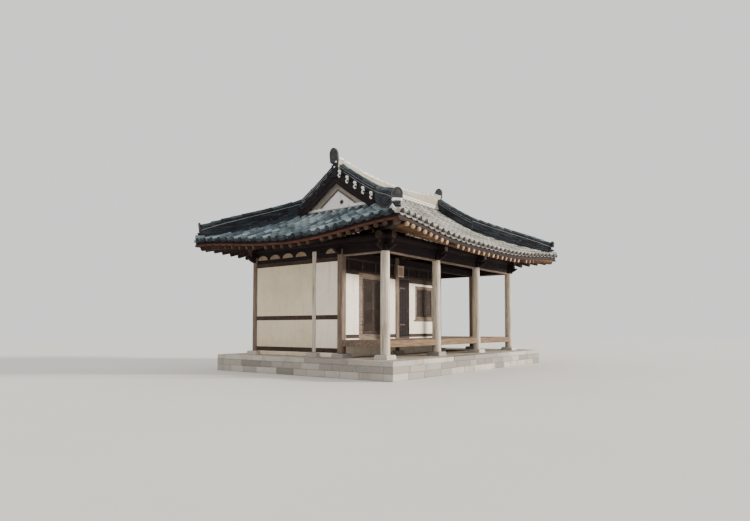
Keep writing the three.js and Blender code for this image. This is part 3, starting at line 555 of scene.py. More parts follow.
# %% Copies of one model
def copies(model, places):
    """One mesh with a copy of the model at every place, each with a grain and a tone of its own."""
    source = model.data
    count = len(source.vertices)
    points = np.empty(count * 3)
    source.vertices.foreach_get("co", points)
    points = points.reshape(-1, 3)
    grain = np.empty(count * 3)
    source.attributes["grain"].data.foreach_get("vector", grain)
    turns = np.array([[list(row) for row in place] for place in places])
    moved = np.einsum("kij,nj->kni", turns[:, :3, :3], points) + turns[:, None, :3, 3]
    faces = [list(face.vertices) for face in source.polygons]
    flipped = np.linalg.det(turns[:, :3, :3]) < 0
    indices = []
    for k in range(len(places)):
        for face in faces:
            shifted = [v + k * count for v in face]
            indices.append(shifted[::-1] if flipped[k] else shifted)
    mesh = bpy.data.meshes.new(model.name + "_copies")
    mesh.from_pydata(moved.reshape(-1, 3).tolist(), [], indices)
    for look in ("use_smooth", "material_index"):
        mesh.polygons.foreach_set(look, [getattr(face, look) for face in source.polygons] * len(places))
    shifts = np.array([[rng.uniform(-9, 9) for _ in range(3)] for _ in places])
    tones = np.repeat([rng.random() for _ in places], count)
    mesh.attributes.new("grain", "FLOAT_VECTOR", "POINT").data.foreach_set(
        "vector", (grain.reshape(1, -1, 3) + shifts[:, None, :]).ravel().astype(np.float32)
    )
    mesh.attributes.new("tone", "FLOAT", "POINT").data.foreach_set("value", tones.astype(np.float32))
    for material in source.materials:
        mesh.materials.append(material)
    piece = bpy.data.objects.new(model.name + "_copies", mesh)
    bpy.context.scene.collection.objects.link(piece)
    return piece


def piece_of(name, parts, body="house", stands_for=()):
    """Joins finished parts into one named piece that rides on a body."""
    piece = joined(parts)
    piece.name = name
    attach(piece, body)
    if stands_for:
        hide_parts(*stands_for)
    print(f"{name}: {len(piece.data.polygons)} faces")
    return piece


def painted(part, finish, ends=None):
    """Puts a finish on a part, and another on its two sawn ends if one is given."""
    at_ends = [face.material_index if ends else 0 for face in part.data.polygons]
    part.data.materials.clear()
    part.data.materials.append(finish)
    if ends:
        part.data.materials.append(ends)
    part.data.polygons.foreach_set("material_index", at_ends)
    return part


def wear(name, finish):
    """A solid whose shape is right already stays, and wears a finish."""
    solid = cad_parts[name]
    if solid.material_slots:
        for slot in solid.material_slots:
            slot.material = finish
    else:
        solid.data.materials.append(finish)


def discard(*models):
    for model in models:
        bpy.data.objects.remove(model)

# %% [markdown]
# ## The roof's surface
# A hanok roof sags from the ridge to the eave and lifts at its four corners. Every tile, board and
# rafter asks the same few functions where the roof is, so they all follow one curve. A slope is
# read in its own directions: across, along the eave, and down, away from the ridge.

# %% Roof surface
HALF_LENGTH, HALF_DEPTH = 3.636, 2.310
CORNER, EAVE = (4.986, 3.660), (4.786, 3.460)
HIP_SHIFT = CORNER[0] - CORNER[1]
VERGE, GABLE, MID_LINE = 2.856, 2.636, 0.93
HIP_TOP = VERGE - HIP_SHIFT
SKIRT_HEAD = 1.366
POST_TOP, PURLIN_HEIGHT = 3.245, 3.455
LINES = [-3.636, -1.212, 1.212, 3.636]
BAYS = list(zip(LINES, LINES[1:]))
FRONT, INNER, BACK = -2.310, -0.930, 2.310
BASE_TOP, MIDDLE_POST = 0.55, FRONT + 2.29


def lift(x, y):
    return 0.29 * math.exp(-((CORNER[0] - abs(x)) ** 2 + (CORNER[1] - abs(y)) ** 2) / 4.5)


def slope_height(down):
    return 5.5 - 0.75 * down + 0.0535 * down * down


def on_roof(sign_x, sign_y, x, down, rise=0.0):
    return Vector((sign_x * x, sign_y * down, slope_height(down) + lift(x, down) + rise))


def rafter_height(down):
    low = PURLIN_HEIGHT + 0.17 * math.hypot(1, 0.35) + 0.35 * (HALF_DEPTH - max(down, MID_LINE))
    return low + 0.8 * max(0, MID_LINE - down)


class Slope:
    """One side of the roof."""

    def __init__(self, side):
        self.turned = side in ("left", "right")
        self.sign = -1 if side in ("front", "left") else 1
        self.shift = HIP_SHIFT if self.turned else 0
        self.half = CORNER[1] if self.turned else CORNER[0]

    def plan(self, across, down):
        if self.turned:
            return self.sign * (down + self.shift), self.sign * across
        return -self.sign * across, self.sign * down

    def eave(self, across):
        corner, middle = (CORNER[0], EAVE[0]) if self.turned else (CORNER[1], EAVE[1])
        return middle + (corner - middle) * abs(across / self.half) ** 3 - self.shift

    def head(self, across):
        """Where the tiles start: at the ridge, at the gable wall or at the hip."""
        if self.turned:
            return max(SKIRT_HEAD, abs(across))
        return 0.1 if abs(across) < 2.60 else abs(across) - HIP_SHIFT

    def point(self, across, down, height=slope_height):
        x, y = self.plan(across, down)
        return Vector((x, y, height(down) + lift(x, y)))

    def place(self, across, low, high, length, rise):
        """The place of a tile modelled with its foot at the origin and its length along +Y."""
        foot, head = self.point(across, low), self.point(across, high)
        up_slope = (head - foot).normalized()
        side = self.point(across + 0.05, low) - self.point(across - 0.05, low)
        off_roof = side.cross(up_slope).normalized()
        side = up_slope.cross(off_roof)
        turn = axes(side, up_slope * ((head - foot).length / length), off_roof)
        return put(foot + off_roof * rise) @ turn


SLOPES = {side: Slope(side) for side in ("front", "back", "left", "right")}
print("eave at the middle", [round(v, 3) for v in SLOPES["front"].point(0, EAVE[1])])

# %% [markdown]
# ## One cover tile and one valley tile
# The roof has two kinds of tile. Shallow valley tiles overlap down the slope and carry the rain,
# and half-round cover tiles hide the joints between their columns. Both are cut from a cylinder,
# because fired clay tiles are formed as parts of one too.

# %% Cover tile
COVER = {"radius": 0.079, "length": 0.30, "pitch": 0.283}


def cover_tile(radius, length, keep=-0.012, taper=0.90):
    place = {"location": (0, length / 2, 0), "rotation": (math.pi / 2, 0, 0)}
    tile = added("cylinder", vertices=18, radius=radius, depth=length, **place)
    cut(tile, (0, 0, keep - 0.02), (0, 0, -1))
    narrow = lambda: bpy.ops.transform.resize(value=(taper, 1, taper))
    edit(tile, narrow, kind="vertices", wanted=lambda vertex: vertex.co.y > length / 2)
    smooth(tile)
    # The end faces take the tile's second finish: painted shade inside the open ends.
    for face in tile.data.polygons:
        face.material_index = 1 if abs(face.normal.y) > 0.9 else 0
    return grained(tile)


barrel = cover_tile(COVER["radius"], COVER["length"])
barrel.name = "barrel"

# %% Valley tile and its hanging end
VALLEY = {"radius": 0.21, "half": 0.128, "length": 0.16, "show": 0.13, "thick": 0.018}


def valley_tile(length, thick):
    radius, half = VALLEY["radius"], VALLEY["half"]
    sag = radius - math.sqrt(radius**2 - half**2)
    place = {"location": (0, length / 2, radius), "rotation": (math.pi / 2, 0, 0)}
    tile = added("cylinder", vertices=26, radius=radius, depth=length, end_fill_type="NOTHING", **place)
    cut(tile, (0, 0, sag), (0, 0, 1), fill=False)
    return grained(smooth(thicken(tile, thick, 1)))


dish = valley_tile(VALLEY["length"], VALLEY["thick"])
dish.name = "dish"
DRIP = 0.030
drip = valley_tile(DRIP, 0.082)
drip.name = "drip"
print("faces: cover", len(barrel.data.polygons), "valley", len(dish.data.polygons))

# %% [markdown]
# ## Laying the tiles
# The tiles are laid from the eave up, as on the real roof. Each column stops at the ridge, the
# gable or the hip, and its last tile is cut to fit. Each tile is turned to the slope under it and
# shifted by a few millimetres, because hand-laid columns are never quite straight.

# %% Tile columns
BARE_EDGE = 0.30  # beside the corner the ridge's last tiles take the place of a column
SHOW = COVER["length"] - 0.012


def column(slope, across, model_length, show):
    """Feet and heads, up one column, as distances down the slope."""
    head = slope.head(across)
    low = slope.eave(across)
    while low - head > 0.05:
        high = max(low - model_length, head)
        yield low, high
        low -= show


def slope_tiles(side):
    slope = SLOPES[side]
    pitch = COVER["pitch"]
    count = int((slope.half - COVER["radius"] - 0.015) / pitch)
    setback = 0.012 if slope.turned else 0.056
    covers, dishes, drips = [], [], []
    for k in range(-count, count + 1):
        across = k * pitch
        for low, high in column(slope, across, COVER["length"], SHOW):
            place = slope.place(across + jitter(0.003), low, high, COVER["length"], -0.079 + jitter(0.003))
            covers.append(place @ turned(jitter(0.012), "Z"))
    for k in range(-count - 1, count + 1):
        across = (k + 0.5) * pitch
        if abs(across) > slope.half - BARE_EDGE:
            continue
        for low, high in column(slope, across, VALLEY["length"], VALLEY["show"]):
            tilt = turned(-0.11 + jitter(0.02), "X")
            place = slope.place(across + jitter(0.004), low, high, VALLEY["length"], -0.064 + jitter(0.003))
            dishes.append(place @ tilt)
        low = slope.eave(across) - setback
        drips.append(slope.place(across, low, low - DRIP, DRIP, -0.066))
    return [copies(barrel, covers), copies(dish, dishes), copies(drip, drips)]

# %% Bed of clay under the tiles
def draped(slope, height, cuts, thick, head, foot=None, setback=0.14):
    """A flat grid laid over a slope from head to foot (distance down, half width) or to the eave."""
    sheet = added("grid", x_subdivisions=cuts[0], y_subdivisions=cuts[1], size=2)
    flat = []
    for vertex in sheet.data.vertices:
        share, step = vertex.co.x, (1 - vertex.co.y) / 2
        if foot:
            end_down, end_half = foot
        else:
            end_down, end_half = slope.eave(share * slope.half) - setback, slope.half - setback
        across = share * (head[1] + (end_half - head[1]) * step)
        down = head[0] + (end_down - head[0]) * step
        flat.append((across, down, 0))
        vertex.co = slope.point(across, down, height)
    sheet.data.update()
    thicken(sheet, thick, -1 if sheet.data.polygons[0].normal.z > 0 else 1)
    grained(outward(sheet))
    grain = np.array([flat[i % len(flat)] for i in range(len(sheet.data.vertices))], np.float32)
    sheet.data.attributes["grain"].data.foreach_set("vector", grain.ravel())
    return sheet


def clay_bed(slope):
    height = lambda down: slope_height(down) - 0.092
    if slope.turned:
        return [draped(slope, height, (26, 12), 0.03, (SKIRT_HEAD - 0.01, SKIRT_HEAD - 0.03))]
    upper = draped(slope, height, (8, 8), 0.03, (0.002, VERGE), (HIP_TOP, VERGE))
    return [upper, draped(slope, height, (34, 12), 0.03, (HIP_TOP, VERGE))]


for side, slope in SLOPES.items():
    # The front slope takes the paler tile copies as painted sunlight, with painted shadow in the covers' open ends and
    # a painted highlight on the drips. The other slopes take the darker copies, and painted shade on their ends and
    # drips.
    cover_finish, valley_finish = (sunlit_tile, sunlit_slope_valley_shade) if side == "front" else (shade_tile, shade_valley)
    cut_finish, lip_finish = (shadow, lip_tile) if side == "front" else (dark_tile_and_shade, dark_tile_and_shade)
    covers, dishes, drips = slope_tiles(side)
    tiles = [painted(covers, cover_finish, cut_finish), painted(dishes, valley_finish), painted(drips, lip_finish)]
    bed = [painted(sheet, clay) for sheet in clay_bed(slope)]
    piece_of(f"roof_tiles_{side}", [*tiles, *bed], stands_for=[f"tiles_{side}"])

# %% [markdown]
# ## Ridges
# Where two slopes meet, flat tiles are stacked in lime and capped with a row of cover tiles. The
# ridge dips in the middle and rises to its ends. A core of lime is bent along the line first, and
# then the courses are laid on it tile by tile, each a little out of true.

# %% A line to build along
class Line:
    """A run of points with the height that a ridge has over them."""

    def __init__(self, point, top, start, end):
        self.point, self.top = point, top
        self.start, self.end = start, end
        marks = [point(start + (end - start) * i / 40) for i in range(41)]
        self.length = sum((b - a).length for a, b in zip(marks, marks[1:]))

    def at(self, share):
        step = 0.004
        here = self.point(self.start + (self.end - self.start) * share)
        ahead = self.point(self.start + (self.end - self.start) * (share + step))
        along = (ahead - here).normalized()
        side = Vector((0, 0, 1)).cross(along).normalized()
        return here, along, side, self.top(share)

    def place(self, share, rise, side_shift=0.0):
        """A place along the line, at a height from its top."""
        here, along, side, top = self.at(share)
        base = here + Vector((0, 0, top + rise)) + side * side_shift
        return put(base) @ axes(along, side, along.cross(side))


RIDGE_CUTS, COURSE_TILE = 24, 0.30


def bent_core(line, width, foot, under, shift=0.0):
    """A block that runs under the ridge's courses, from its foot to a little under its top."""

    def place(share, across, level):
        here, along, side, top = line.at(share)
        height = top - under if level > 0 else foot
        return here + side * (across * width + shift) + Vector((0, 0, height))

    return swept((line.length, width, 0.3), RIDGE_CUTS, place)


def lime_joint(line, level, width, thick):
    """A thin bed of lime between two courses, a little proud of them."""

    def place(share, across, height):
        here, along, side, top = line.at(share)
        return here + side * across * width + Vector((0, 0, top + level + height * thick))

    return swept((line.length, width, thick), RIDGE_CUTS, place)


def courses(line, levels, width, thick=0.030, shift=0.0):
    """Flat tiles in courses, hung from the top of the ridge."""
    model = block((COURSE_TILE, width, thick), 0.006)
    places = []
    count = round(line.length / COURSE_TILE)
    for row, level in enumerate(levels):
        for i in range(count + 1):
            share = (i + (0.5 if row % 2 else 0.0)) / count
            if share > 1:
                continue
            share = min(max(share, 0.4 / count), 1 - 0.4 / count)
            place = line.place(share, level + jitter(0.002), shift + jitter(0.003))
            places.append(place @ turned(jitter(0.02), "Z") @ turned(jitter(0.008), "X"))
    laid_courses = copies(model, places)
    discard(model)
    return laid_courses


def ridge_cap(line, radius):
    model = cover_tile(radius, 0.31, keep=0.012, taper=0.93)
    turn = turned(-math.pi / 2, "Z")
    count = round(line.length / 0.29)
    places = [line.place((i + 0.02) / count, -radius + jitter(0.003)) @ turn for i in range(count)]
    cap = copies(model, places)
    discard(model)
    return cap

# %% Upright end tile
def end_plate(half, height, thick):
    """A round-headed plate with a raised rim and a plain boss, standing on YZ and facing +X."""
    plate = added("cylinder", vertices=28, radius=half, depth=thick, rotation=(0, math.pi / 2, 0))
    cut(plate, (0, 0, 0.001), (0, 0, -1))
    head = min(half * 1.25, height * 0.55)
    for vertex in plate.data.vertices:
        z = max(vertex.co.z, 0) / half
        vertex.co.z = z * head
        vertex.co.y *= 1.04 - 0.10 * z
    down = {"value": (0, 0, head - height)}
    edit(
        plate, lambda: bpy.ops.mesh.extrude_region_move(TRANSFORM_OT_translate=down),
        kind="polygons", wanted=lambda face: face.normal.z < -0.9,
    )
    edit(
        plate,
        lambda: bpy.ops.mesh.inset(thickness=half * 0.16, depth=-0.012),
        lambda: bpy.ops.mesh.inset(thickness=half * 0.34, depth=0.004),
        lambda: bpy.ops.mesh.inset(thickness=half * 0.08, depth=0.010),
        kind="polygons", wanted=lambda face: face.normal.x > 0.9,
    )
    plate.data.transform(put((0, 0, height - head)))
    return grained(smooth(outward(plate)))

# %% Main ridge
RIDGE_HALF, RIDGE_BASE = 2.84, 5.5


def main_top(share):
    x = -2.88 + 5.76 * share
    return 0.31 + 0.26 * abs(x / 2.88) ** 2.2


main_line = Line(lambda x: Vector((x, 0, RIDGE_BASE)), main_top, -RIDGE_HALF, RIDGE_HALF)
core = bent_core(main_line, 0.225, -0.10, 0.085)
face = bent_core(main_line, 0.20, -0.10, 0.098, shift=-0.030)
stack = courses(main_line, [-0.105, -0.143, -0.181, -0.219], 0.25, shift=0.006)
lines = courses(main_line, [-0.150, -0.232, -0.314], 0.02, thick=0.018, shift=-0.128)
cap = ridge_cap(main_line, 0.085)


def foot_course(z, wide, thick, finish):
    """A course that stands proud along the ridge's foot."""
    place = lambda share, side, level: Vector((-2.83 + 5.66 * share, side * wide, z + level * thick))
    return painted(swept((5.66, wide, thick), RIDGE_CUTS, place), finish)


feet = [foot_course(5.452, 0.305, 0.034, lime), foot_course(5.512, 0.285, 0.034, lime)]
feet.append(foot_course(5.482, 0.27, 0.03, dark_tile_and_shade))
ends = []
for sign in (-1, 1):
    plate = end_plate(0.142, 0.40, 0.06)
    lean = turned(0.13, "Y")
    turn = Matrix.Identity(4) if sign > 0 else turned(math.pi, "Z")
    ends.append(painted(laid(plate, put((sign * 2.860, 0, 5.868)) @ turn @ lean), soot_tile))
    foot_x = sign * 2.862
    ends.append(slab((foot_x - 0.035, -0.105, 5.42), (foot_x + 0.035, 0.105, 5.88), 0.02, dark_tile_and_shade))
    for side, z in ((-0.07, 5.86), (0.06, 5.80), (-0.02, 5.72)):
        lump = block((0.05, 0.075, 0.055), 0.022)
        place = put((sign * 2.888, side, z)) @ turned(side * 6, "X")
        ends.append(painted(laid(lump, place), lime))
# The thin lines on the ridge's face take the sunlit tile copy. The cap takes the near-white finish: a painted
# highlight along the ridge's top.
for part, finish in ((core, lime), (face, cream_lime), (stack, shade_tile), (lines, sunlit_tile), (cap, lip_tile)):
    painted(part, finish)
piece_of("main_ridge_courses", [stack, core, face, lines, cap, *feet, *ends], stands_for=["main_ridge"])

# %% [markdown]
# ## Side ridges
# Four lesser ridges leave the main one. Each runs down beside the verge, turns over the hip and
# ends at a corner. There an upright tile bedded on lumps closes it, and one big valley tile under
# them throws the water off. On the front corners the top lump and the valley tile's lining are
# lime, and the lower lumps are dark as painted shade. On the back corners all of them are dark.

# %% Side ridges
def side_ridge(sign_x, sign_y):
    beside = VERGE - 0.15
    turn_y = beside - HIP_SHIFT
    foot_y = CORNER[1] - 0.2
    levels = [-0.100 - 0.037 * k for k in range(9)]

    def beside_verge(down):
        return on_roof(sign_x, sign_y, beside, down)

    def over_hip(down):
        return on_roof(sign_x, sign_y, down + HIP_SHIFT, down)

    def hip_top(share):
        return 0.45 - 0.12 * share + 0.30 * share * (1 - share)

    upper = Line(beside_verge, lambda share: 0.45, 0.15, turn_y + 0.07)
    lower = Line(over_hip, hip_top, turn_y, foot_y - 0.02)
    parts = []
    for line in (upper, lower):
        parts.append(painted(bent_core(line, 0.140, -0.085, 0.085), dark_tile_and_shade))
        parts.append(painted(courses(line, levels, 0.180, thick=0.031), dark_tile_and_shade))
        for level in (-0.1185, -0.1925) if line is upper else (-0.1555,):
            parts.append(painted(lime_joint(line, level, 0.188, 0.010), old_lime))
        # The caps take the valley finish, a little lighter than the courses: painted sheen.
        parts.append(painted(ridge_cap(line, 0.080), shade_valley))
    way = Vector((sign_x, sign_y, 0)).normalized()
    here = over_hip(foot_y)
    facing = turned(math.atan2(way.y, way.x), "Z")
    # The big valley tile takes the sunlit tile copy on the front corners, as painted sunlight, and the shaded copy on
    # the back ones, as painted shade. The lumps are lime on the front corners and take the dark finish on the back
    # ones.
    joint, corner_tile = (lime, sunlit_tile) if sign_y < 0 else (dark_tile_and_shade, shade_tile)
    plate = end_plate(0.118, 0.235, 0.05)
    lean = turned(0.14, "Y")
    parts.append(painted(laid(plate, put(here + Vector((0, 0, 0.185))) @ facing @ lean), soot_tile))
    # The lower two lumps take the dark finish: painted shade under the upright tile.
    lumps = (
        (-0.02, 0.22, 0.09, 0.150, joint), (0.030, 0.17, 0.05, 0.088, dark_tile_and_shade), (0.000, 0.13, 0.05, 0.036, dark_tile_and_shade)
    )
    for out, wide, high, z, bed in lumps:
        lump = block((0.10, wide, high), 0.024)
        lump.data.transform(turned(jitter(0.25), "X"))
        parts.append(painted(laid(lump, put(here + way * out + Vector((0, 0, z))) @ facing), bed))
    spout = valley_tile(0.26, 0.030)
    tip = over_hip(CORNER[1] - 0.118)
    out = put(tip + Vector((0, 0, -0.060))) @ facing @ turned(math.pi / 2, "Z")
    parts.append(painted(laid(spout, out @ Matrix.Diagonal((1.05, 1, 2.6, 1))), corner_tile))
    lining = valley_tile(0.15, 0.012)
    inner = put((0, 0.010, 0.020)) @ Matrix.Diagonal((0.92, 1, 2.5, 1))
    parts.append(painted(laid(lining, out @ inner), joint))
    return parts


ENDS = (("left", -1), ("right", 1))
for end, sign_x in ENDS:
    for side, sign_y in (("front", -1), ("back", 1)):
        name = f"side_ridge_{end}_{side}"
        piece_of(name + "_courses", side_ridge(sign_x, sign_y), stands_for=[name])

# %% [markdown]
# ## Verge
# Along the gable's edge short cover tiles lie crosswise with their ends in the air. Each end is
# stopped with a lump of lime that has run down a little, which reads as a white hook from afar. On
# the back slopes the lumps take the dark tile finish.

# %% Verge tiles
def bedded(down):
    """How high the clay bed lifts the verge tiles over the slope."""
    return 0.255 - 0.045 * down


def lime_hook():
    """A flat drop of lime with a curled tail under it."""
    middle = 0.024
    drop = added("uv_sphere", segments=14, ring_count=8, radius=0.060, location=(-0.022, 0, middle))
    for vertex in drop.data.vertices:
        vertex.co.y *= 0.45
        vertex.co.z = middle + (vertex.co.z - middle) * 0.72
    tail = hoop(0.048, 0.021, 18, (0.052, 0, -0.058), (math.pi / 2, 0, 0))
    cut(tail, (0.060, 0, 0), (1, 0, 0.35))
    return grained(joined([outward(drop), outward(tail)]))


def verge_row(sign_x, sign_y):
    model = cover_tile(0.078, 0.20, keep=0.010, taper=0.95)
    hanging = valley_tile(0.19, 0.024)
    knob = lime_hook()
    x, inward = VERGE + 0.012, Vector((-sign_x, 0, 0))

    def on_bed(down, bed):
        return on_roof(sign_x, sign_y, x, down, bed)

    def crosswise(down):
        """The place of a tile whose length runs in over the roof."""
        here = on_bed(down, bedded(down))
        across = (on_bed(down + 0.05, bedded(down)) - here).normalized()
        across *= 1 if across.dot(inward.cross(Vector((0, 0, 1)))) > 0 else -1
        return put(here) @ axes(across, inward, across.cross(inward))

    covers, plugs, valleys = [], [], []
    down = 0.227
    while down < HIP_TOP - 0.05:
        covers.append(crosswise(down) @ put((0, jitter(0.006), -0.055)))
        plugs.append(crosswise(down) @ put((0, -0.008, -0.058)))
        valleys.append(crosswise(down + 0.138) @ put((0, 0.012, -0.115)))
        down += 0.276
    row = [painted(copies(model, covers), dark_tile_and_shade), painted(copies(hanging, valleys), dark_tile_and_shade)]
    row.append(painted(copies(knob, plugs), lime if sign_y < 0 else dark_tile_and_shade))
    discard(model, hanging, knob)
    return row


for end, sign_x in ENDS:
    piece_of(f"verge_tiles_{end}", verge_row(sign_x, -1) + verge_row(sign_x, 1))

# %% [markdown]
# ## Gables
# Under the verge hang dark bargeboards, an upper one lapped over a lower one on each side. Their
# dark is partly painted shade. Behind them the gable is plastered, with a whiter three-cornered
# panel in a frame of greyed boards and a small round vent for the roof space, whose hole is a dark
# disc of painted shadow. A strip of lime seals the wall's foot to the skirt's tiles.

# %% Gable boards, panel and vent
def gable(sign):
    face = GABLE + 0.054
    out = lambda depth: sign * (face + depth)
    apex, foot, reach = 5.075, 4.655, 0.60
    panel = added("circle", vertices=3, radius=1, fill_type="NGON", rotation=(0, math.pi / 2, 0))
    corners = sorted(panel.data.vertices, key=lambda v: v.co.z)
    top, low = corners[-1], sorted(corners[:2], key=lambda v: v.co.y)
    for vertex, (y, z) in ((top, (0, apex)), (low[0], (-reach, foot)), (low[1], (reach, foot))):
        vertex.co = (out(0.0), y, z)
    move = {"value": (sign * 0.022, 0, 0)}
    edit(panel, lambda: bpy.ops.mesh.extrude_region_move(TRANSFORM_OT_translate=move))
    parts = [painted(grained(outward(panel)), panel_plaster)]
    pitch = (apex - foot) / reach

    def board(depth, inner, above, run, wide, high, soften, finish):
        start, end = (out(depth), inner, apex + above), (out(depth), way * run, apex + above - pitch * run)
        parts.append(painted(timber(start, end, wide, high, soften), finish))

    for way in (-1, 1):
        board(0.024, 0, 0.035, reach + 0.05, 0.05, 0.050, 0.005, post_wood)
        for k, above in enumerate((0.098, 0.190, 0.282)):
            run = (apex + above - foot - 0.01) / pitch
            board(0.014 + 0.008 * k, way * 0.01, above, run, 0.03, 0.078, 0.004, grey_wood)
    near, far = sorted((out(0), out(0.05)))
    parts.append(slab((near, -1.16, 4.565), (far, 1.16, 4.645), 0.012, lime))
    vent = (sign * 0.14, 4.742)
    rim = hoop(0.058, 0.012, 28, (out(0.024), *vent), (0, math.pi / 2, 0))
    parts.append(painted(grained(rim), grey_wood))
    # The vent's hole is a flat dark disc: painted shadow.
    hole = laid(log(0.02, 0.056, 24, 0.003), put((out(0.014), *vent)))
    parts.append(painted(hole, shadow))
    return parts


for end, sign in ENDS:
    piece_of(f"gable_panel_{end}", gable(sign))


def bargeboards(sign):
    """Two wide boards on each side, bowed to the verge, that meet under the ridge."""
    parts = []
    for way in (-1, 1):
        for top, bottom, x, reach in ((-0.12, 0.06, 2.852, 1.40), (0.05, 0.215, 2.841, 1.36)):

            def place(share, side, level):
                down = share * reach
                drop = top if level > 0 else bottom
                return Vector((sign * (x + side * 0.032), way * down, slope_height(down) + lift(x, down) - drop))

            parts.append(painted(swept((reach, 0.032, 0.125), 9, place), dark_wood_and_shade))
    return parts


for end, sign in ENDS:
    piece_of(f"bargeboard_pair_{end}", bargeboards(sign), stands_for=[f"bargeboards_{end}"])
    wear(f"gable_wall_{end}", gable_plaster)

# %% [markdown]
# ## Rafters and eaves
# Round rafters run square to the eave and fan out at the corners, where a heavy curved beam lies
# under each hip. Boards cover them, and a strip ties their feet together: red-brown on three sides,
# and dark on the veranda side as painted shade. A batten over it lifts the first tiles; its dark is
# partly painted shade too. The sawn ends of the rafters stay pale, so they get the finish of end
# grain. On the veranda side the rafters, their ends and the boards take paler copies of their
# finishes as painted sunlight, and on the other sides darker copies as painted shade.

# %% One rafter and where they all run
RAFTER = {"radius": 0.06, "pitch": 0.303, "clear": 0.02, "foot": 0.06, "fan": 8}
pole = painted(log(1.0, RAFTER["radius"], 14, 0.004), sunlit_rafter_wood, sunlit_end_wood)


def rafter_runs(slope):
    """Upper and lower end of every rafter, each as a place across and down the slope."""
    half = MID_LINE + (0 if slope.turned else HIP_SHIFT)
    upper = MID_LINE + 0.08 if slope.turned else 0.06
    count = int(half / RAFTER["pitch"])
    for i in range(-count, count):
        across = (i + 0.5) * RAFTER["pitch"]
        if not slope.turned and i % 2 == 0:
            yield (across, upper), (across, MID_LINE)
        head = upper if slope.turned else MID_LINE - 0.04
        yield (across, head), (across, slope.eave(across) - RAFTER["foot"])
    for way in (-1, 1):
        for i in range(1, RAFTER["fan"] + 1):
            foot = half + (slope.half - 0.18 - half) * i / (RAFTER["fan"] + 1)
            eave = slope.eave(foot) - RAFTER["foot"]
            yield (way * (half + (foot - half) * 0.3), MID_LINE + (eave - MID_LINE) * 0.3), (way * foot, eave)


def rafters_of(slope):
    places = []
    for head, foot in rafter_runs(slope):
        start = slope.point(*head, rafter_height) + Vector((jitter(0.004), jitter(0.004), 0))
        end = slope.point(*foot, rafter_height) + Vector((jitter(0.006), jitter(0.006), 0))
        thick = rng.uniform(0.93, 1.03)
        turn = turned(rng.uniform(-3, 3), "X")
        stretch = Matrix.Diagonal(((end - start).length, thick, thick, 1))
        places.append(lying(start, end) @ turn @ stretch)
    return copies(pole, places)

# %% Boards over the rafters, eave strip and corner beams
def soffit(slope):
    """The boards on the rafters, in one sheet above the hips' head and one below it."""
    height = lambda down: rafter_height(down) + RAFTER["radius"] + RAFTER["clear"] + 0.025
    if slope.turned:
        return [draped(slope, height, (26, 10), 0.024, (MID_LINE + 0.075, MID_LINE + 0.075), setback=0.11)]
    middle = (MID_LINE, MID_LINE + HIP_SHIFT)
    upper = draped(slope, height, (8, 4), 0.024, (0.003, GABLE - 0.006), (MID_LINE, GABLE - 0.006))
    return [upper, draped(slope, height, (34, 12), 0.024, middle, setback=0.11)]


STRIP = {"height": 0.060, "inset": 0.135}


def eave_strip(slope, upper):
    """The strip on the rafters' feet, or the batten over it that the lowest tiles sit on, dark partly as painted
    shade.
    """
    wide = 0.05 if upper else 0.078

    def place(share, side, level):
        setback = STRIP["inset"] + side * wide
        across = (2 * share - 1) * (slope.half - setback)
        down = slope.eave(across) - setback
        x, y = slope.plan(across, down)
        low = rafter_height(down) + RAFTER["radius"] + RAFTER["clear"] - 0.04
        top = low + STRIP["height"]
        if upper:
            low, top = top, slope_height(down) - 0.119
        return Vector((x, y, low + (top - low) * (level + 0.5) + lift(x, y)))

    return swept((2 * slope.half, wide, 0.08), 48, place)


def corner_beam(sign_x, sign_y):
    def place(share, side, level):
        down = 1.14 + 2.34 * share - (0.05 if share > 0.99 and level < 0 else 0)
        x, y = sign_x * (down + HIP_SHIFT), sign_y * down
        height = rafter_height(down) + RAFTER["radius"] + RAFTER["clear"] + 0.01 + lift(x, y)
        depth = 0.235 - 0.05 * max(0, share - 0.8) / 0.2
        across = Vector((-sign_y, sign_x, 0)).normalized() * side * 0.158
        return Vector((x, y, height + (level - 0.5) * depth)) + across

    return swept((3.3, 0.158, 0.235), 12, place)


for side, slope in SLOPES.items():
    on_sunlit_side = side == "front"
    # The sunlit side takes the paler copies as painted sunlight, the other sides the darker copies as painted shade.
    log_finish, cut_finish = (sunlit_rafter_wood, sunlit_end_wood) if on_sunlit_side else (shaded_rafter_wood, shaded_end_wood)
    logs = painted(rafters_of(slope), log_finish, cut_finish)
    boards = [painted(sheet, sunlit_soffit_wood if on_sunlit_side else shaded_soffit_wood) for sheet in soffit(slope)]
    # On the veranda side the strip is dark as painted shade; elsewhere it is red-brown.
    parts = [logs, *boards, painted(eave_strip(slope, False), dark_wood_and_shade if on_sunlit_side else fascia_wood)]
    parts.append(painted(eave_strip(slope, True), dark_wood_and_shade))
    if slope.turned:
        parts += [painted(corner_beam(slope.sign, way), shaded_rafter_wood, shaded_end_wood) for way in (-1, 1)]
    piece_of(f"rafters_and_boards_{side}", parts, stands_for=[f"rafters_{side}"])
discard(pole)

# %% [markdown]
# ## Plaster between the rafters
# Over each eave purlin the gap between two rafters is stopped with clay and lime, which dries as a
# small pale arch. One half-round plug is modelled, and each gap takes a copy of its own width.

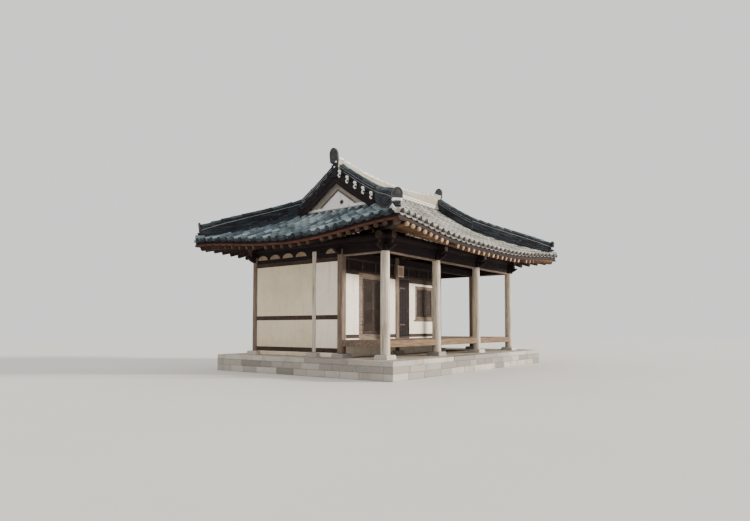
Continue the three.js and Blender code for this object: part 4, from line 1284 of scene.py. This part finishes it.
# %% Plugs over the purlins
PLUG_FOOT = PURLIN_HEIGHT + 0.085
plug = added("cylinder", vertices=20, radius=0.5, depth=0.07)
cut(plug, (0, 0.0001, 0), (0, -1, 0))
plug.data.transform(turned(math.pi / 2, "X"))
painted(grained(plug), wall_plaster)
for side, slope in SLOPES.items():
    crossings = []
    for (a0, d0), (a1, d1) in rafter_runs(slope):
        if d1 > HALF_DEPTH:
            crossings.append(a0 + (a1 - a0) * (HALF_DEPTH - d0) / (d1 - d0))
    crossings.sort()
    places = []
    for left, right in zip(crossings, crossings[1:]):
        width = right - left - 1.7 * RAFTER["radius"]
        if width < 0.05:
            continue
        foot = slope.point((left + right) / 2, HALF_DEPTH, lambda down: PLUG_FOOT)
        turn = turned(math.pi / 2 if slope.turned else 0, "Z")
        height = rafter_height(HALF_DEPTH) + 0.075 - PLUG_FOOT
        places.append(put(foot) @ turn @ Matrix.Diagonal((width, 1, 2 * height, 1)))
    piece_of(f"eave_plugs_{side}", [copies(plug, places)])
discard(plug)

# %% [markdown]
# ## Columns, posts and beams
# Round columns stand along the veranda: they are peeled, bleached pale by the weather, and taper a
# little towards the top. Behind them square posts stand in the walls. Tie beams join their heads,
# and above them lie the strips, the round purlins and the two crossbeams with shaped ends.

# %% Columns and posts
def column_shaft(x):
    shaft = log(POST_TOP - BASE_TOP, 0.12, 32, 0.006)
    narrow = lambda: bpy.ops.transform.resize(value=(1, 0.91, 0.91))
    edit(shaft, narrow, kind="vertices", wanted=lambda vertex: vertex.co.x > 0)
    return laid(shaft, lying((x, FRONT, BASE_TOP), (x, FRONT, POST_TOP), up=(1, 0, 0)))


for i, x in enumerate(LINES, 1):
    piece_of(f"round_column_{i}", [painted(column_shaft(x), pale_wood)], stands_for=[f"front_column_{i}"])


def post(x, y, size=0.17, finish=post_wood):
    stick = block((POST_TOP - BASE_TOP, size, size), 0.012)
    return painted(laid(stick, lying((x, y, BASE_TOP), (x, y, POST_TOP), up=(1, 0, 0))), finish)


inner_names, back_names = ([f"{row}_post_{i}" for i in (1, 2, 3, 4)] for row in ("inner", "back"))
piece_of("wall_posts", [post(x, INNER) for x in LINES], stands_for=inner_names)
piece_of("back_posts", [post(x, BACK) for x in LINES], stands_for=back_names)
piece_of("end_wall_post", [post(LINES[0], MIDDLE_POST, 0.14, pale_wood)], stands_for=["end_post"])

# %% Tie beams and brackets
TIE_LOW, EDGE_Z = 3.045, 3.066
tie_middle = (POST_TOP + TIE_LOW) / 2
tie = lambda start, end: timber((*start, tie_middle), (*end, tie_middle), 0.108, 0.198, 0.012)
ENDS_X = (LINES[0], LINES[3])
ties = [tie((x0, y), (x1, y)) for y in (FRONT, INNER, BACK) for x0, x1 in BAYS]
ties += [tie((x, y0), (x, y1)) for x in ENDS_X for y0, y1 in ((FRONT, INNER), (INNER, BACK))]


def painted_highlight_edge(start, end):
    """A pale strip along a beam's lower edge: a painted highlight where the light catches it."""
    return painted(timber((*start, EDGE_Z), (*end, EDGE_Z), 0.120, 0.042, 0.008), post_wood)


edges = [painted_highlight_edge((x0 + 0.1, FRONT), (x1 - 0.1, FRONT)) for x0, x1 in BAYS]
edges += [painted_highlight_edge((x, FRONT + 0.1), (x, INNER - 0.08)) for x in ENDS_X]


def bracket(x, y, way):
    """A small shaped bracket that passes through a post's head and shows as a beak outside."""
    way = Vector((*way, 0))
    across = Vector((-way.y, way.x, 0))

    def place(share, side, level):
        reach = -0.16 + 0.50 * share
        rise = 0.13 * max(0, (share - 0.45) / 0.55) ** 1.6 if level < 0 else 0
        return Vector((x, y, 3.165 + level * 0.15 + rise)) + way * reach + across * side * 0.09

    return swept((0.5, 0.09, 0.15), 10, place)


for x in LINES:
    ties += [bracket(x, FRONT, (0, -1)), bracket(x, BACK, (0, 1))]
for x in ENDS_X:
    ties += [bracket(x, y, (math.copysign(1, x), 0)) for y in (FRONT, INNER, BACK)]
CAPITAL = 0.128
for x in LINES:
    ties.append(slab((x - CAPITAL, FRONT - CAPITAL, 3.075), (x + CAPITAL, FRONT + CAPITAL, 3.243), 0.02))
for stick in ties:
    painted(stick, dark_wood_and_shade)
piece_of("tie_beam_frame", [*ties, *edges], stands_for=["tie_beams"])

# %% [markdown]
# ## Arches on the beams
# Over the closed walls the beams carry a row of low arches in old plaster. Their dark tan is
# partly the clay filling behind them and partly painted shade. One thin arch is modelled, and each
# place takes a copy. They stand only a few millimetres proud of the dark wood.

# %% Small plastered arches on the beams of the closed walls
arch = added("cylinder", vertices=24, radius=0.5, depth=0.012, rotation=(math.pi / 2, 0, 0))
cut(arch, (0, 0, 0.0001), (0, 0, -1))
painted(grained(arch), arch_plaster)
shape = Matrix.Diagonal((0.40, 1, 0.25, 1))
on_end = turned(-math.pi / 2, "Z") @ shape
on_back = turned(math.pi, "Z") @ shape
places = [put((LINES[0] - 0.058, y, 3.150)) @ on_end for y in (-0.64, 0.47, 0.98, 1.49, 2.0)]
for x0 in LINES[:3]:
    places += [put((x0 + 0.44 + 0.515 * k, BACK + 0.058, 3.152)) @ on_back for k in range(4)]
piece_of("beam_arches", [copies(arch, places)])
discard(arch)

# %% Purlins and crossbeams
REACH_X, REACH_Y = HALF_LENGTH + 0.27, HALF_DEPTH + 0.27
purlins = []


def purlin_pair(start, end, shorter):
    """A round purlin and the square strip under it, which is a little shorter."""
    purlins.append(round_timber((*start, PURLIN_HEIGHT), (*end, PURLIN_HEIGHT), 0.109, 28))
    start, end = (Vector((*spot, POST_TOP + 0.05)) for spot in (start, end))
    purlins.append(timber(start + shorter, end - shorter, 0.098, 0.12))


for y in (FRONT, BACK):
    purlin_pair((-REACH_X, y), (REACH_X, y), Vector((0.04, 0, 0)))
for x in ENDS_X:
    purlin_pair((x, -REACH_Y), (x, REACH_Y), Vector((0, 0.04, 0)))
for purlin in purlins:
    painted(purlin, dark_wood_and_shade, shaded_end_wood)
piece_of("eave_purlin_ring", purlins, stands_for=["eave_purlins"])


def crossbeam(x):
    def place(share, side, level):
        y = (2 * share - 1) * 2.64
        end = max(0, abs(y) - 2.42) / 0.22
        top, bottom = POST_TOP + 0.24 - 0.05 * end**2, POST_TOP + 0.07 * end**1.5
        width = 0.18 * (1 - 0.12 * end) * (1 + 0.06 * (1 - (y / 2.64) ** 2) * (1 if level < 0 else 0))
        return Vector((x + side * width, y, bottom + (level + 0.5) * (top - bottom)))

    return swept((5.28, 0.18, 0.24), 30, place)


for i, x in enumerate(LINES[1:3], 1):
    beam = painted(crossbeam(x), dark_wood_and_shade, post_wood)
    piece_of(f"shaped_crossbeam_{i}", [beam], stands_for=[f"crossbeam_{i}"])

# %% Upper roof frame
RING_X = MID_LINE + HIP_SHIFT
seat = lambda pitch: (0.11 + RAFTER["radius"]) * math.hypot(1, pitch)
mid_height = rafter_height(MID_LINE) - seat(0.8)
ridge_height = rafter_height(0) - seat(0.8)
upper = [round_timber((-2.63, 0, ridge_height), (2.63, 0, ridge_height), 0.109, 24)]
for y in (-MID_LINE, MID_LINE):
    upper.append(round_timber((-RING_X - 0.1, y, mid_height), (RING_X + 0.1, y, mid_height), 0.109, 24))
for x in (-RING_X, RING_X):
    upper.append(round_timber((x, -MID_LINE, mid_height), (x, MID_LINE, mid_height), 0.109, 24))
beam_middle = mid_height - 0.16
for x in LINES[1:3]:
    for y in (-MID_LINE, MID_LINE):
        upper.append(timber((x, y, 3.485), (x, y, mid_height), 0.16, 0.20, 0.01, up=(1, 0, 0)))
    upper.append(timber((x, -1.128, beam_middle), (x, 1.128, beam_middle), 0.18, 0.20, 0.02))
    upper.append(timber((x, 0, mid_height - 0.08), (x, 0, ridge_height), 0.10, 0.26, 0.01, up=(1, 0, 0)))
for stick in upper:
    painted(stick, dark_wood_and_shade, post_wood)
piece_of("roof_timbers", upper, stands_for=["upper_roof_frame"])

# %% [markdown]
# ## Walls
# The walls are woven laths filled with clay and finished with lime, set flush in the frame. Their
# solids are right as they are and keep their shape. Rails lie across them at sitting height, at the
# foot and under the beams, let into the plaster.

# %% Wall finishes and rails
front_walls = ("front_wall_left", "front_wall_middle", "front_wall_right", "hall_side_wall")
for name in (*front_walls, "end_wall_front", "back_wall_1", "back_wall_2", "back_wall_3"):
    wear(name, wall_plaster)
# The back panel of the end wall takes a darker tan plaster.
wear("end_wall_back", tan_plaster)
wear("room_floor", floor_paper)

rails = []
PROUD, POST_SIDE = 0.068, 0.085
end_spans = ((INNER + POST_SIDE, -0.09), (0.05, BACK - POST_SIDE))
bay_spans = [(x0 + POST_SIDE, x1 - POST_SIDE) for x0, x1 in BAYS]


def rail(low, high):
    rails.append(slab(low, high, finish=door_wood))


def end_rails(x, spans, z0, z1):
    for y0, y1 in spans:
        rail((x - PROUD, y0, z0), (x + PROUD, y1, z1))


def back_rails(z0, z1):
    for x0, x1 in bay_spans:
        rail((x0, BACK - PROUD, z0), (x1, BACK + PROUD, z1))


for z0, z1 in ((0.56, 0.68), (1.42, 1.54)):
    end_rails(LINES[0], end_spans, z0, z1)
    end_rails(LINES[2], [(INNER + POST_SIDE, BACK - POST_SIDE)], z0 + 0.34, z1 + 0.34)
    back_rails(z0, z1)
back_rails(2.94, 3.044)
end_rails(LINES[0], end_spans, 2.93, 3.044)
inner_spans = (
    (LINES[0] + POST_SIDE, LINES[0] + 0.635),
    (LINES[0] + 1.907, LINES[1] - POST_SIDE),
    (LINES[1] + 0.649, LINES[2] - POST_SIDE),
)
for levels in ([(0.93, 1.03)] * 3, [(2.612, 2.68), (2.612, 2.68), (2.545, 2.70)]):
    for (x0, x1), (z0, z1) in zip(inner_spans, levels):
        rail((x0, INNER - PROUD, z0), (x1, INNER, z1))
piece_of("wall_rails", rails)

# %% [markdown]
# ## Panels over the doors
# Between the door heads and the tie beam a row of boarded panels fills the wall. Each bay has a
# rail above and below, upright dividers, and boards set back between them.

# %% Transom panels
def transom(name, x0, x1, z0, dividers, lying_boards):
    front, back, top = INNER - 0.035, INNER + 0.035, 3.0447
    parts = [
        slab((x0, front, z0), (x1, back, z0 + 0.062), 0.006, door_wood),
        slab((x0, front, top - 0.055), (x1, back, top), 0.006, door_wood),
    ]
    for x in dividers:
        parts.append(slab((x - 0.026, front + 0.002, z0 + 0.06), (x + 0.026, back, top - 0.053), 0.005, door_wood))
    low, high = z0 + 0.055, top - 0.05
    set_in, set_out = INNER - 0.012, INNER + 0.010
    count = 3 if lying_boards else 12
    step = ((high - low) if lying_boards else (x1 - x0)) / count
    for i in range(count):
        if lying_boards:
            a, b = low + i * step + 0.002, low + (i + 1) * step - 0.002
            parts.append(slab((x0, set_in, a), (x1, set_out, b), 0.005, dark_wood_and_shade))
        else:
            a, b = x0 + i * step + 0.001, x0 + (i + 1) * step - 0.001
            parts.append(slab((a, set_in, low), (b, set_out, high), 0.004, dark_wood_and_shade))
    piece_of(name + "_panels", parts, stands_for=[name])


transom("transom_left", -3.551, -1.297, 2.6803, (-3.395, -2.80, -2.215, -1.63), False)
transom("transom_right", -1.127, 1.127, 2.7003, (-0.56, 0.0, 0.56), True)
blank = [
    slab((-1.235, -1.046, 2.712), (-0.965, -1.028, 3.002), 0.003, pale_board_wood),
    *(slab((-1.255, -1.056, z), (-0.945, -1.022, z + 0.037), 0.004, pale_wood) for z in (2.985, 2.690)),
    *(slab((x, -1.054, 2.72), (x + 0.037, -1.022, 2.99), 0.004, pale_wood) for x in (-1.255, -0.982)),
    *(slab((-1.20, -1.03, z), (-1.16, -0.99, z + 0.03), 0.002, iron) for z in (2.93, 2.75)),
]
piece_of("blank_hanging_board", blank)

# %% [markdown]
# ## Lattice doors and window
# A leaf is a frame of stiles and rails with thin bars crossed and halved into each other, and paper
# pasted on the inside. One bar is modelled and copied. Iron pin hinges carry the leaves, and each
# has a ring to pull it by.

# %% Lattice
def lattice(low, high, y, uprights, levels, thick=0.012):
    """Bars over an opening, upright ones right through and lying ones at the given levels."""
    (x0, z0), (x1, z1) = low, high
    bar = block((1, 1, 1), 0.0)
    places = []
    for i in range(1, uprights + 1):
        x = x0 + (x1 - x0) * i / (uprights + 1)
        places.append(put((x, y, (z0 + z1) / 2)) @ Matrix.Diagonal((thick, 0.014, z1 - z0, 1)))
    for z in levels:
        places.append(put(((x0 + x1) / 2, y - 0.0015, z)) @ Matrix.Diagonal((x1 - x0, 0.012, thick, 1)))
    bars = copies(bar, places)
    discard(bar)
    return bars


def hung_frame(low, high, depths, members, finish):
    """Four members round an opening (widths of stile, head and foot), the stiles running through."""
    (x0, z0), (x1, z1) = low, high
    front, back = depths
    stile, head, foot = members
    inner_x0, inner_x1 = x0 + stile - 0.002, x1 - stile + 0.002
    return [
        slab((x0, front, z0), (x0 + stile, back, z1), 0.004, finish),
        slab((x1 - stile, front, z0), (x1, back, z1), 0.004, finish),
        slab((inner_x0, front + 0.001, z1 - head), (inner_x1, back, z1), 0.004, finish),
        slab((inner_x0, front + 0.001, z0), (inner_x1, back, z0 + foot), 0.004, finish),
    ]

# %% Pin hinges and rings
HINGE = {"y": -0.999, "radius": 0.0078, "height": 0.06, "levels": (0.15, 0.8), "gap": 0.0605}
FACE_OUT = turned(math.pi / 2, "Z")


def pin_hinge(axis, z, way, face):
    """One half of a hinge: a knuckle on the pin and a strap on the wood beside it."""
    y, height = HINGE["y"], HINGE["height"]
    knuckle = log(height - 0.001, HINGE["radius"], 14, 0.0015)
    laid(knuckle, lying((axis, y, z), (axis, y, z + height - 0.001), (1, 0, 0)))
    near, far = sorted((axis, axis + way * 0.030))
    strap = slab((near, y, z + 0.004), (far, face - 0.0002, z + height - 0.005), 0.0015, iron)
    return [painted(knuckle, iron), strap]


def pull_ring(x, y, z):
    """A ring that hangs from a staple through a round plate."""
    plate = laid(log(0.004, 0.026, 18, 0.001), put((x, y - 0.002, z)) @ FACE_OUT)
    staple = slab((x - 0.004, y - 0.018, z - 0.005), (x + 0.004, y, z + 0.005), 0.001)
    ring = hoop(0.030, 0.0035, 24, (x, y - 0.012, z - 0.028), (math.radians(82), 0, 0))
    return [painted(part, iron) for part in (plate, staple, grained(ring))]


def hinge_levels(z0, z1):
    return [z0 + share * (z1 - z0) for share in HINGE["levels"]]

# %% Door leaves
FACE = INNER - 0.06
LEAF_Z, PLANK_Z = (1.046, 2.513), (0.966, 2.611)
BAR_STEP = 0.033


def lattice_leaf(x0, x1, axis, ring_x):
    z0, z1 = LEAF_Z
    parts = hung_frame((x0, z0), (x1, z1), (FACE, FACE + 0.036), (0.046, 0.055, 0.075), door_wood)
    middle = (z0 + z1) / 2 + 0.02
    levels = [z0 + 0.075 + BAR_STEP * k for k in range(1, 6)]
    levels += [middle + BAR_STEP * k for k in range(-3, 4)]
    levels += [z1 - 0.055 - BAR_STEP * k for k in range(1, 6)]
    bars = lattice((x0 + 0.044, z0 + 0.073), (x1 - 0.044, z1 - 0.053), FACE + 0.012, 7, levels, 0.010)
    parts.append(painted(bars, door_wood))
    parts.append(slab((x0 + 0.03, FACE + 0.021, z0 + 0.05), (x1 - 0.03, FACE + 0.024, z1 - 0.03), 0.0005, paper))
    way = 1 if axis < (x0 + x1) / 2 else -1
    for z in hinge_levels(z0, z1):
        parts += pin_hinge(axis, z + HINGE["gap"], way, FACE)
    return parts + pull_ring(ring_x, FACE, 1.72)


LEFT_AXIS, RIGHT_AXIS, PLANK_AXIS = -2.8325, -1.8995, -1.0815
left = lattice_leaf(-2.829, -2.369, LEFT_AXIS, -2.392)
piece_of("left_lattice_leaf", left, body="left_leaf", stands_for=["door_leaf_left"])
right = lattice_leaf(-2.363, -1.903, RIGHT_AXIS, -2.340)
piece_of("right_lattice_leaf", right, body="right_leaf", stands_for=["door_leaf_right"])

# %% Plank door
plank_parts = []
joints = (-1.078, -0.915, -0.782, -0.625)
for x0, x1 in zip(joints, joints[1:]):
    plank_parts.append(slab((x0 + 0.001, FACE + 0.002, 0.968), (x1 - 0.001, FACE + 0.024, 2.609), 0.004, dark_wood_and_shade))
for z in (1.15, 1.80, 2.42):
    plank_parts.append(slab((-1.072, FACE + 0.022, z - 0.04), (-0.631, FACE + 0.036, z + 0.04), 0.004, door_wood))
    for x in (-1.0, -0.85, -0.70):
        nail = laid(log(0.006, 0.009, 8, 0.002), put((x, FACE + 0.001, z)) @ FACE_OUT)
        plank_parts.append(painted(nail, iron))
for z in hinge_levels(*PLANK_Z):
    plank_parts += pin_hinge(PLANK_AXIS, z + HINGE["gap"], 1, FACE)
    plank_parts.append(slab((-1.055, FACE - 0.002, z + 0.070), (-0.80, FACE + 0.003, z + 0.105), 0.001, iron))
plank_parts += pull_ring(-0.66, FACE + 0.002, 1.70)
piece_of("plank_door_leaf", plank_parts, body="plank_leaf", stands_for=["plank_door"])

# %% Door and window frames
WALL_DEPTHS = (FACE, INNER + 0.06)
frame_parts = hung_frame((-3.001, 0.9), (-1.731, 2.68), WALL_DEPTHS, (0.164, 0.160, 0.139), post_wood)
for axis, way in ((LEFT_AXIS, -1), (RIGHT_AXIS, 1)):
    for z in hinge_levels(*LEAF_Z):
        frame_parts += pin_hinge(axis, z, way, FACE)
piece_of("door_surround", frame_parts, stands_for=["door_frame"])
frame_parts = hung_frame((-1.1267, 0.9), (-0.5647, 2.70), WALL_DEPTHS, (0.041, 0.082, 0.059), door_wood)
for z in hinge_levels(*PLANK_Z):
    frame_parts += pin_hinge(PLANK_AXIS, z, -1, FACE)
piece_of("plank_door_surround", frame_parts, stands_for=["plank_door_frame"])

surround = hung_frame((-0.246, 1.45), (0.804, 2.48), WALL_DEPTHS, (0.09, 0.09, 0.09), post_wood)
sill = slab((-0.30, -1.02, 1.405), (0.86, -0.95, 1.452), 0.006, post_wood)
piece_of("window_surround", [*surround, sill], stands_for=["window_frame"])
sash_parts = []
levels = [1.60 + 0.105 * k for k in range(1, 7)]
for x0, x1 in ((-0.155, 0.278), (0.280, 0.713)):
    sash_parts += hung_frame((x0, 1.541), (x1, 2.389), (-0.975, -0.942), (0.040, 0.045, 0.05), door_wood)
    sash_parts.append(painted(lattice((x0 + 0.038, 1.589), (x1 - 0.038, 2.346), -0.962, 5, levels), door_wood))
    sash_parts.append(slab((x0 + 0.02, -0.955, 1.56), (x1 - 0.02, -0.952, 2.37), 0.0005, paper))
piece_of("window_lattice", sash_parts, stands_for=["window_sash"])

# %% [markdown]
# ## Veranda and hall floor
# The floor is a frame of heavy rails with short boards slipped between them, so that a board can be
# changed without nails. The front and the two ends are closed by deep edge beams.

# %% Floor boards
floor_parts = []
EDGE_X, EDGE_Y, BEAM = HALF_LENGTH + 0.07, FRONT - 0.07, 0.14
WALL_FACE, BACK_FACE = INNER - 0.0603, BACK - 0.0603
BOARD_TOP, RAIL_TOP, BEAM_TOP = 0.897, 0.8985, 0.899


def floor_field(x0, x1, y0, y1):
    """One field between two rails: short boards lying along X, each of its own width."""
    y = y0
    while y < y1 - 0.01:
        wide = min(rng.uniform(0.15, 0.22), y1 - y)
        if y1 - y - wide < 0.07:
            wide = y1 - y
        top = BOARD_TOP + jitter(0.0012)
        board = slab((x0 + 0.001, y + 0.0012, 0.85), (x1 - 0.001, y + wide - 0.0012, top), 0.003, floor_wood)
        floor_parts.append(board)
        y += wide


def floor_rail(x, y0, y1):
    floor_parts.append(slab((x - BEAM / 2, y0, 0.848), (x + BEAM / 2, y1, RAIL_TOP), 0.004, floor_wood))


rail_lines = [LINES[0] + (LINES[3] - LINES[0]) * k / 9 for k in range(10)]
for x0, x1 in zip(rail_lines, rail_lines[1:]):
    floor_field(x0 + 0.07, x1 - 0.07, EDGE_Y + BEAM, WALL_FACE)
for x in rail_lines[1:-1]:
    floor_rail(x, EDGE_Y + BEAM, WALL_FACE)
hall_left = LINES[2] + 0.0603
hall_lines = [hall_left, LINES[2] + 0.86, LINES[2] + 1.64, EDGE_X - BEAM]
for x0, x1 in zip(hall_lines, hall_lines[1:]):
    floor_field(x0 + (0.07 if x0 > hall_left else 0), x1 - (0.07 if x1 < EDGE_X - 0.15 else 0), WALL_FACE, BACK_FACE)
for x in hall_lines[1:-1]:
    floor_rail(x, WALL_FACE, BACK_FACE)
edge_beams = (
    ((-EDGE_X, EDGE_Y, 0.730), (EDGE_X, EDGE_Y + BEAM, BEAM_TOP)),
    ((-EDGE_X, EDGE_Y + BEAM, 0.732), (-EDGE_X + BEAM, WALL_FACE, BEAM_TOP)),
    ((EDGE_X - BEAM, EDGE_Y + BEAM, 0.732), (EDGE_X, BACK_FACE, BEAM_TOP)),
)
floor_parts += [slab(low, high, 0.008, floor_wood, post_wood) for low, high in edge_beams]
piece_of("floor_boards", floor_parts, stands_for=["plank_floor"])

# %% [markdown]
# ## Stone platform
# The house stands on a platform that keeps it dry: dressed granite blocks in two courses round
# the edge, capped by long slabs, with beaten earth inside. Each post has its own base stone, left
# rough on its sides and flat on top.

# %% Granite blocks
TOP, REACH = 0.45, (HALF_LENGTH + 0.78, HALF_DEPTH + 0.78)
stones = []


def course_of_stones(low, high, depth, lengths, soften):
    """One course round the four sides, laid stone by stone with thin joints."""
    for along_x in (True, False):
        half = REACH[0] if along_x else REACH[1] - depth
        for way in (-1, 1):
            at = -half
            while at < half - 0.01:
                long = min(rng.uniform(*lengths), half - at)
                if half - at - long < lengths[0] * 0.6:
                    long = half - at
                set_back = rng.uniform(0.001, 0.007)
                edge = (REACH[1] if along_x else REACH[0]) - set_back
                near, far = sorted((way * edge, way * (edge - depth)))
                a, b = at + 0.003, at + long - 0.003
                if along_x:
                    corners = (a, near, low), (b, far, high)
                else:
                    corners = (near, a, low), (far, b, high)
                stones.append(slab(*corners, soften, stone))
                at += long


course_of_stones(0.0, 0.163, 0.26, (0.45, 0.85), 0.010)
course_of_stones(0.169, 0.322, 0.26, (0.40, 0.80), 0.010)
course_of_stones(0.327, TOP, 0.34, (0.90, 1.55), 0.012)
MARGIN = 0.02
low, high = (-REACH[0] + MARGIN, -REACH[1] + MARGIN, 0.0), (REACH[0] - MARGIN, REACH[1] - MARGIN, TOP - MARGIN)
stones.append(slab(low, high, 0.002, earth))
yard = added("grid", x_subdivisions=60, y_subdivisions=40, size=2)
for vertex in yard.data.vertices:
    edge = max(abs(vertex.co.x), abs(vertex.co.y))
    drop = 0.004 + 0.006 * rng.random() if edge < 0.999 else 0.012
    vertex.co = (vertex.co.x * (REACH[0] - 0.33), vertex.co.y * (REACH[1] - 0.33), TOP - drop)
edit(yard, lambda: bpy.ops.mesh.extrude_region_move(TRANSFORM_OT_translate={"value": (0, 0, -0.03)}))
stones.append(painted(grained(outward(yard)), earth))

# %% Base stones
for x, y in [(x, y) for y in (FRONT, INNER, BACK) for x in LINES] + [(LINES[0], MIDDLE_POST)]:
    base = block((0.41, 0.41, 0.12), 0.016)
    for vertex in base.data.vertices:
        wider = 1.0 - (0.07 if vertex.co.z > 0 else 0.0)
        vertex.co.x = vertex.co.x * wider + jitter(0.004)
        vertex.co.y = vertex.co.y * wider + jitter(0.004)
    stones.append(painted(laid(base, put((x, y, 0.489))), base_stone))
piece_of("granite_platform", stones, stands_for=["stone_platform"])

# %% [markdown]
# ## Clearing up
# The models that were only copied go.

# %% Finish
discard(barrel, dish, drip)
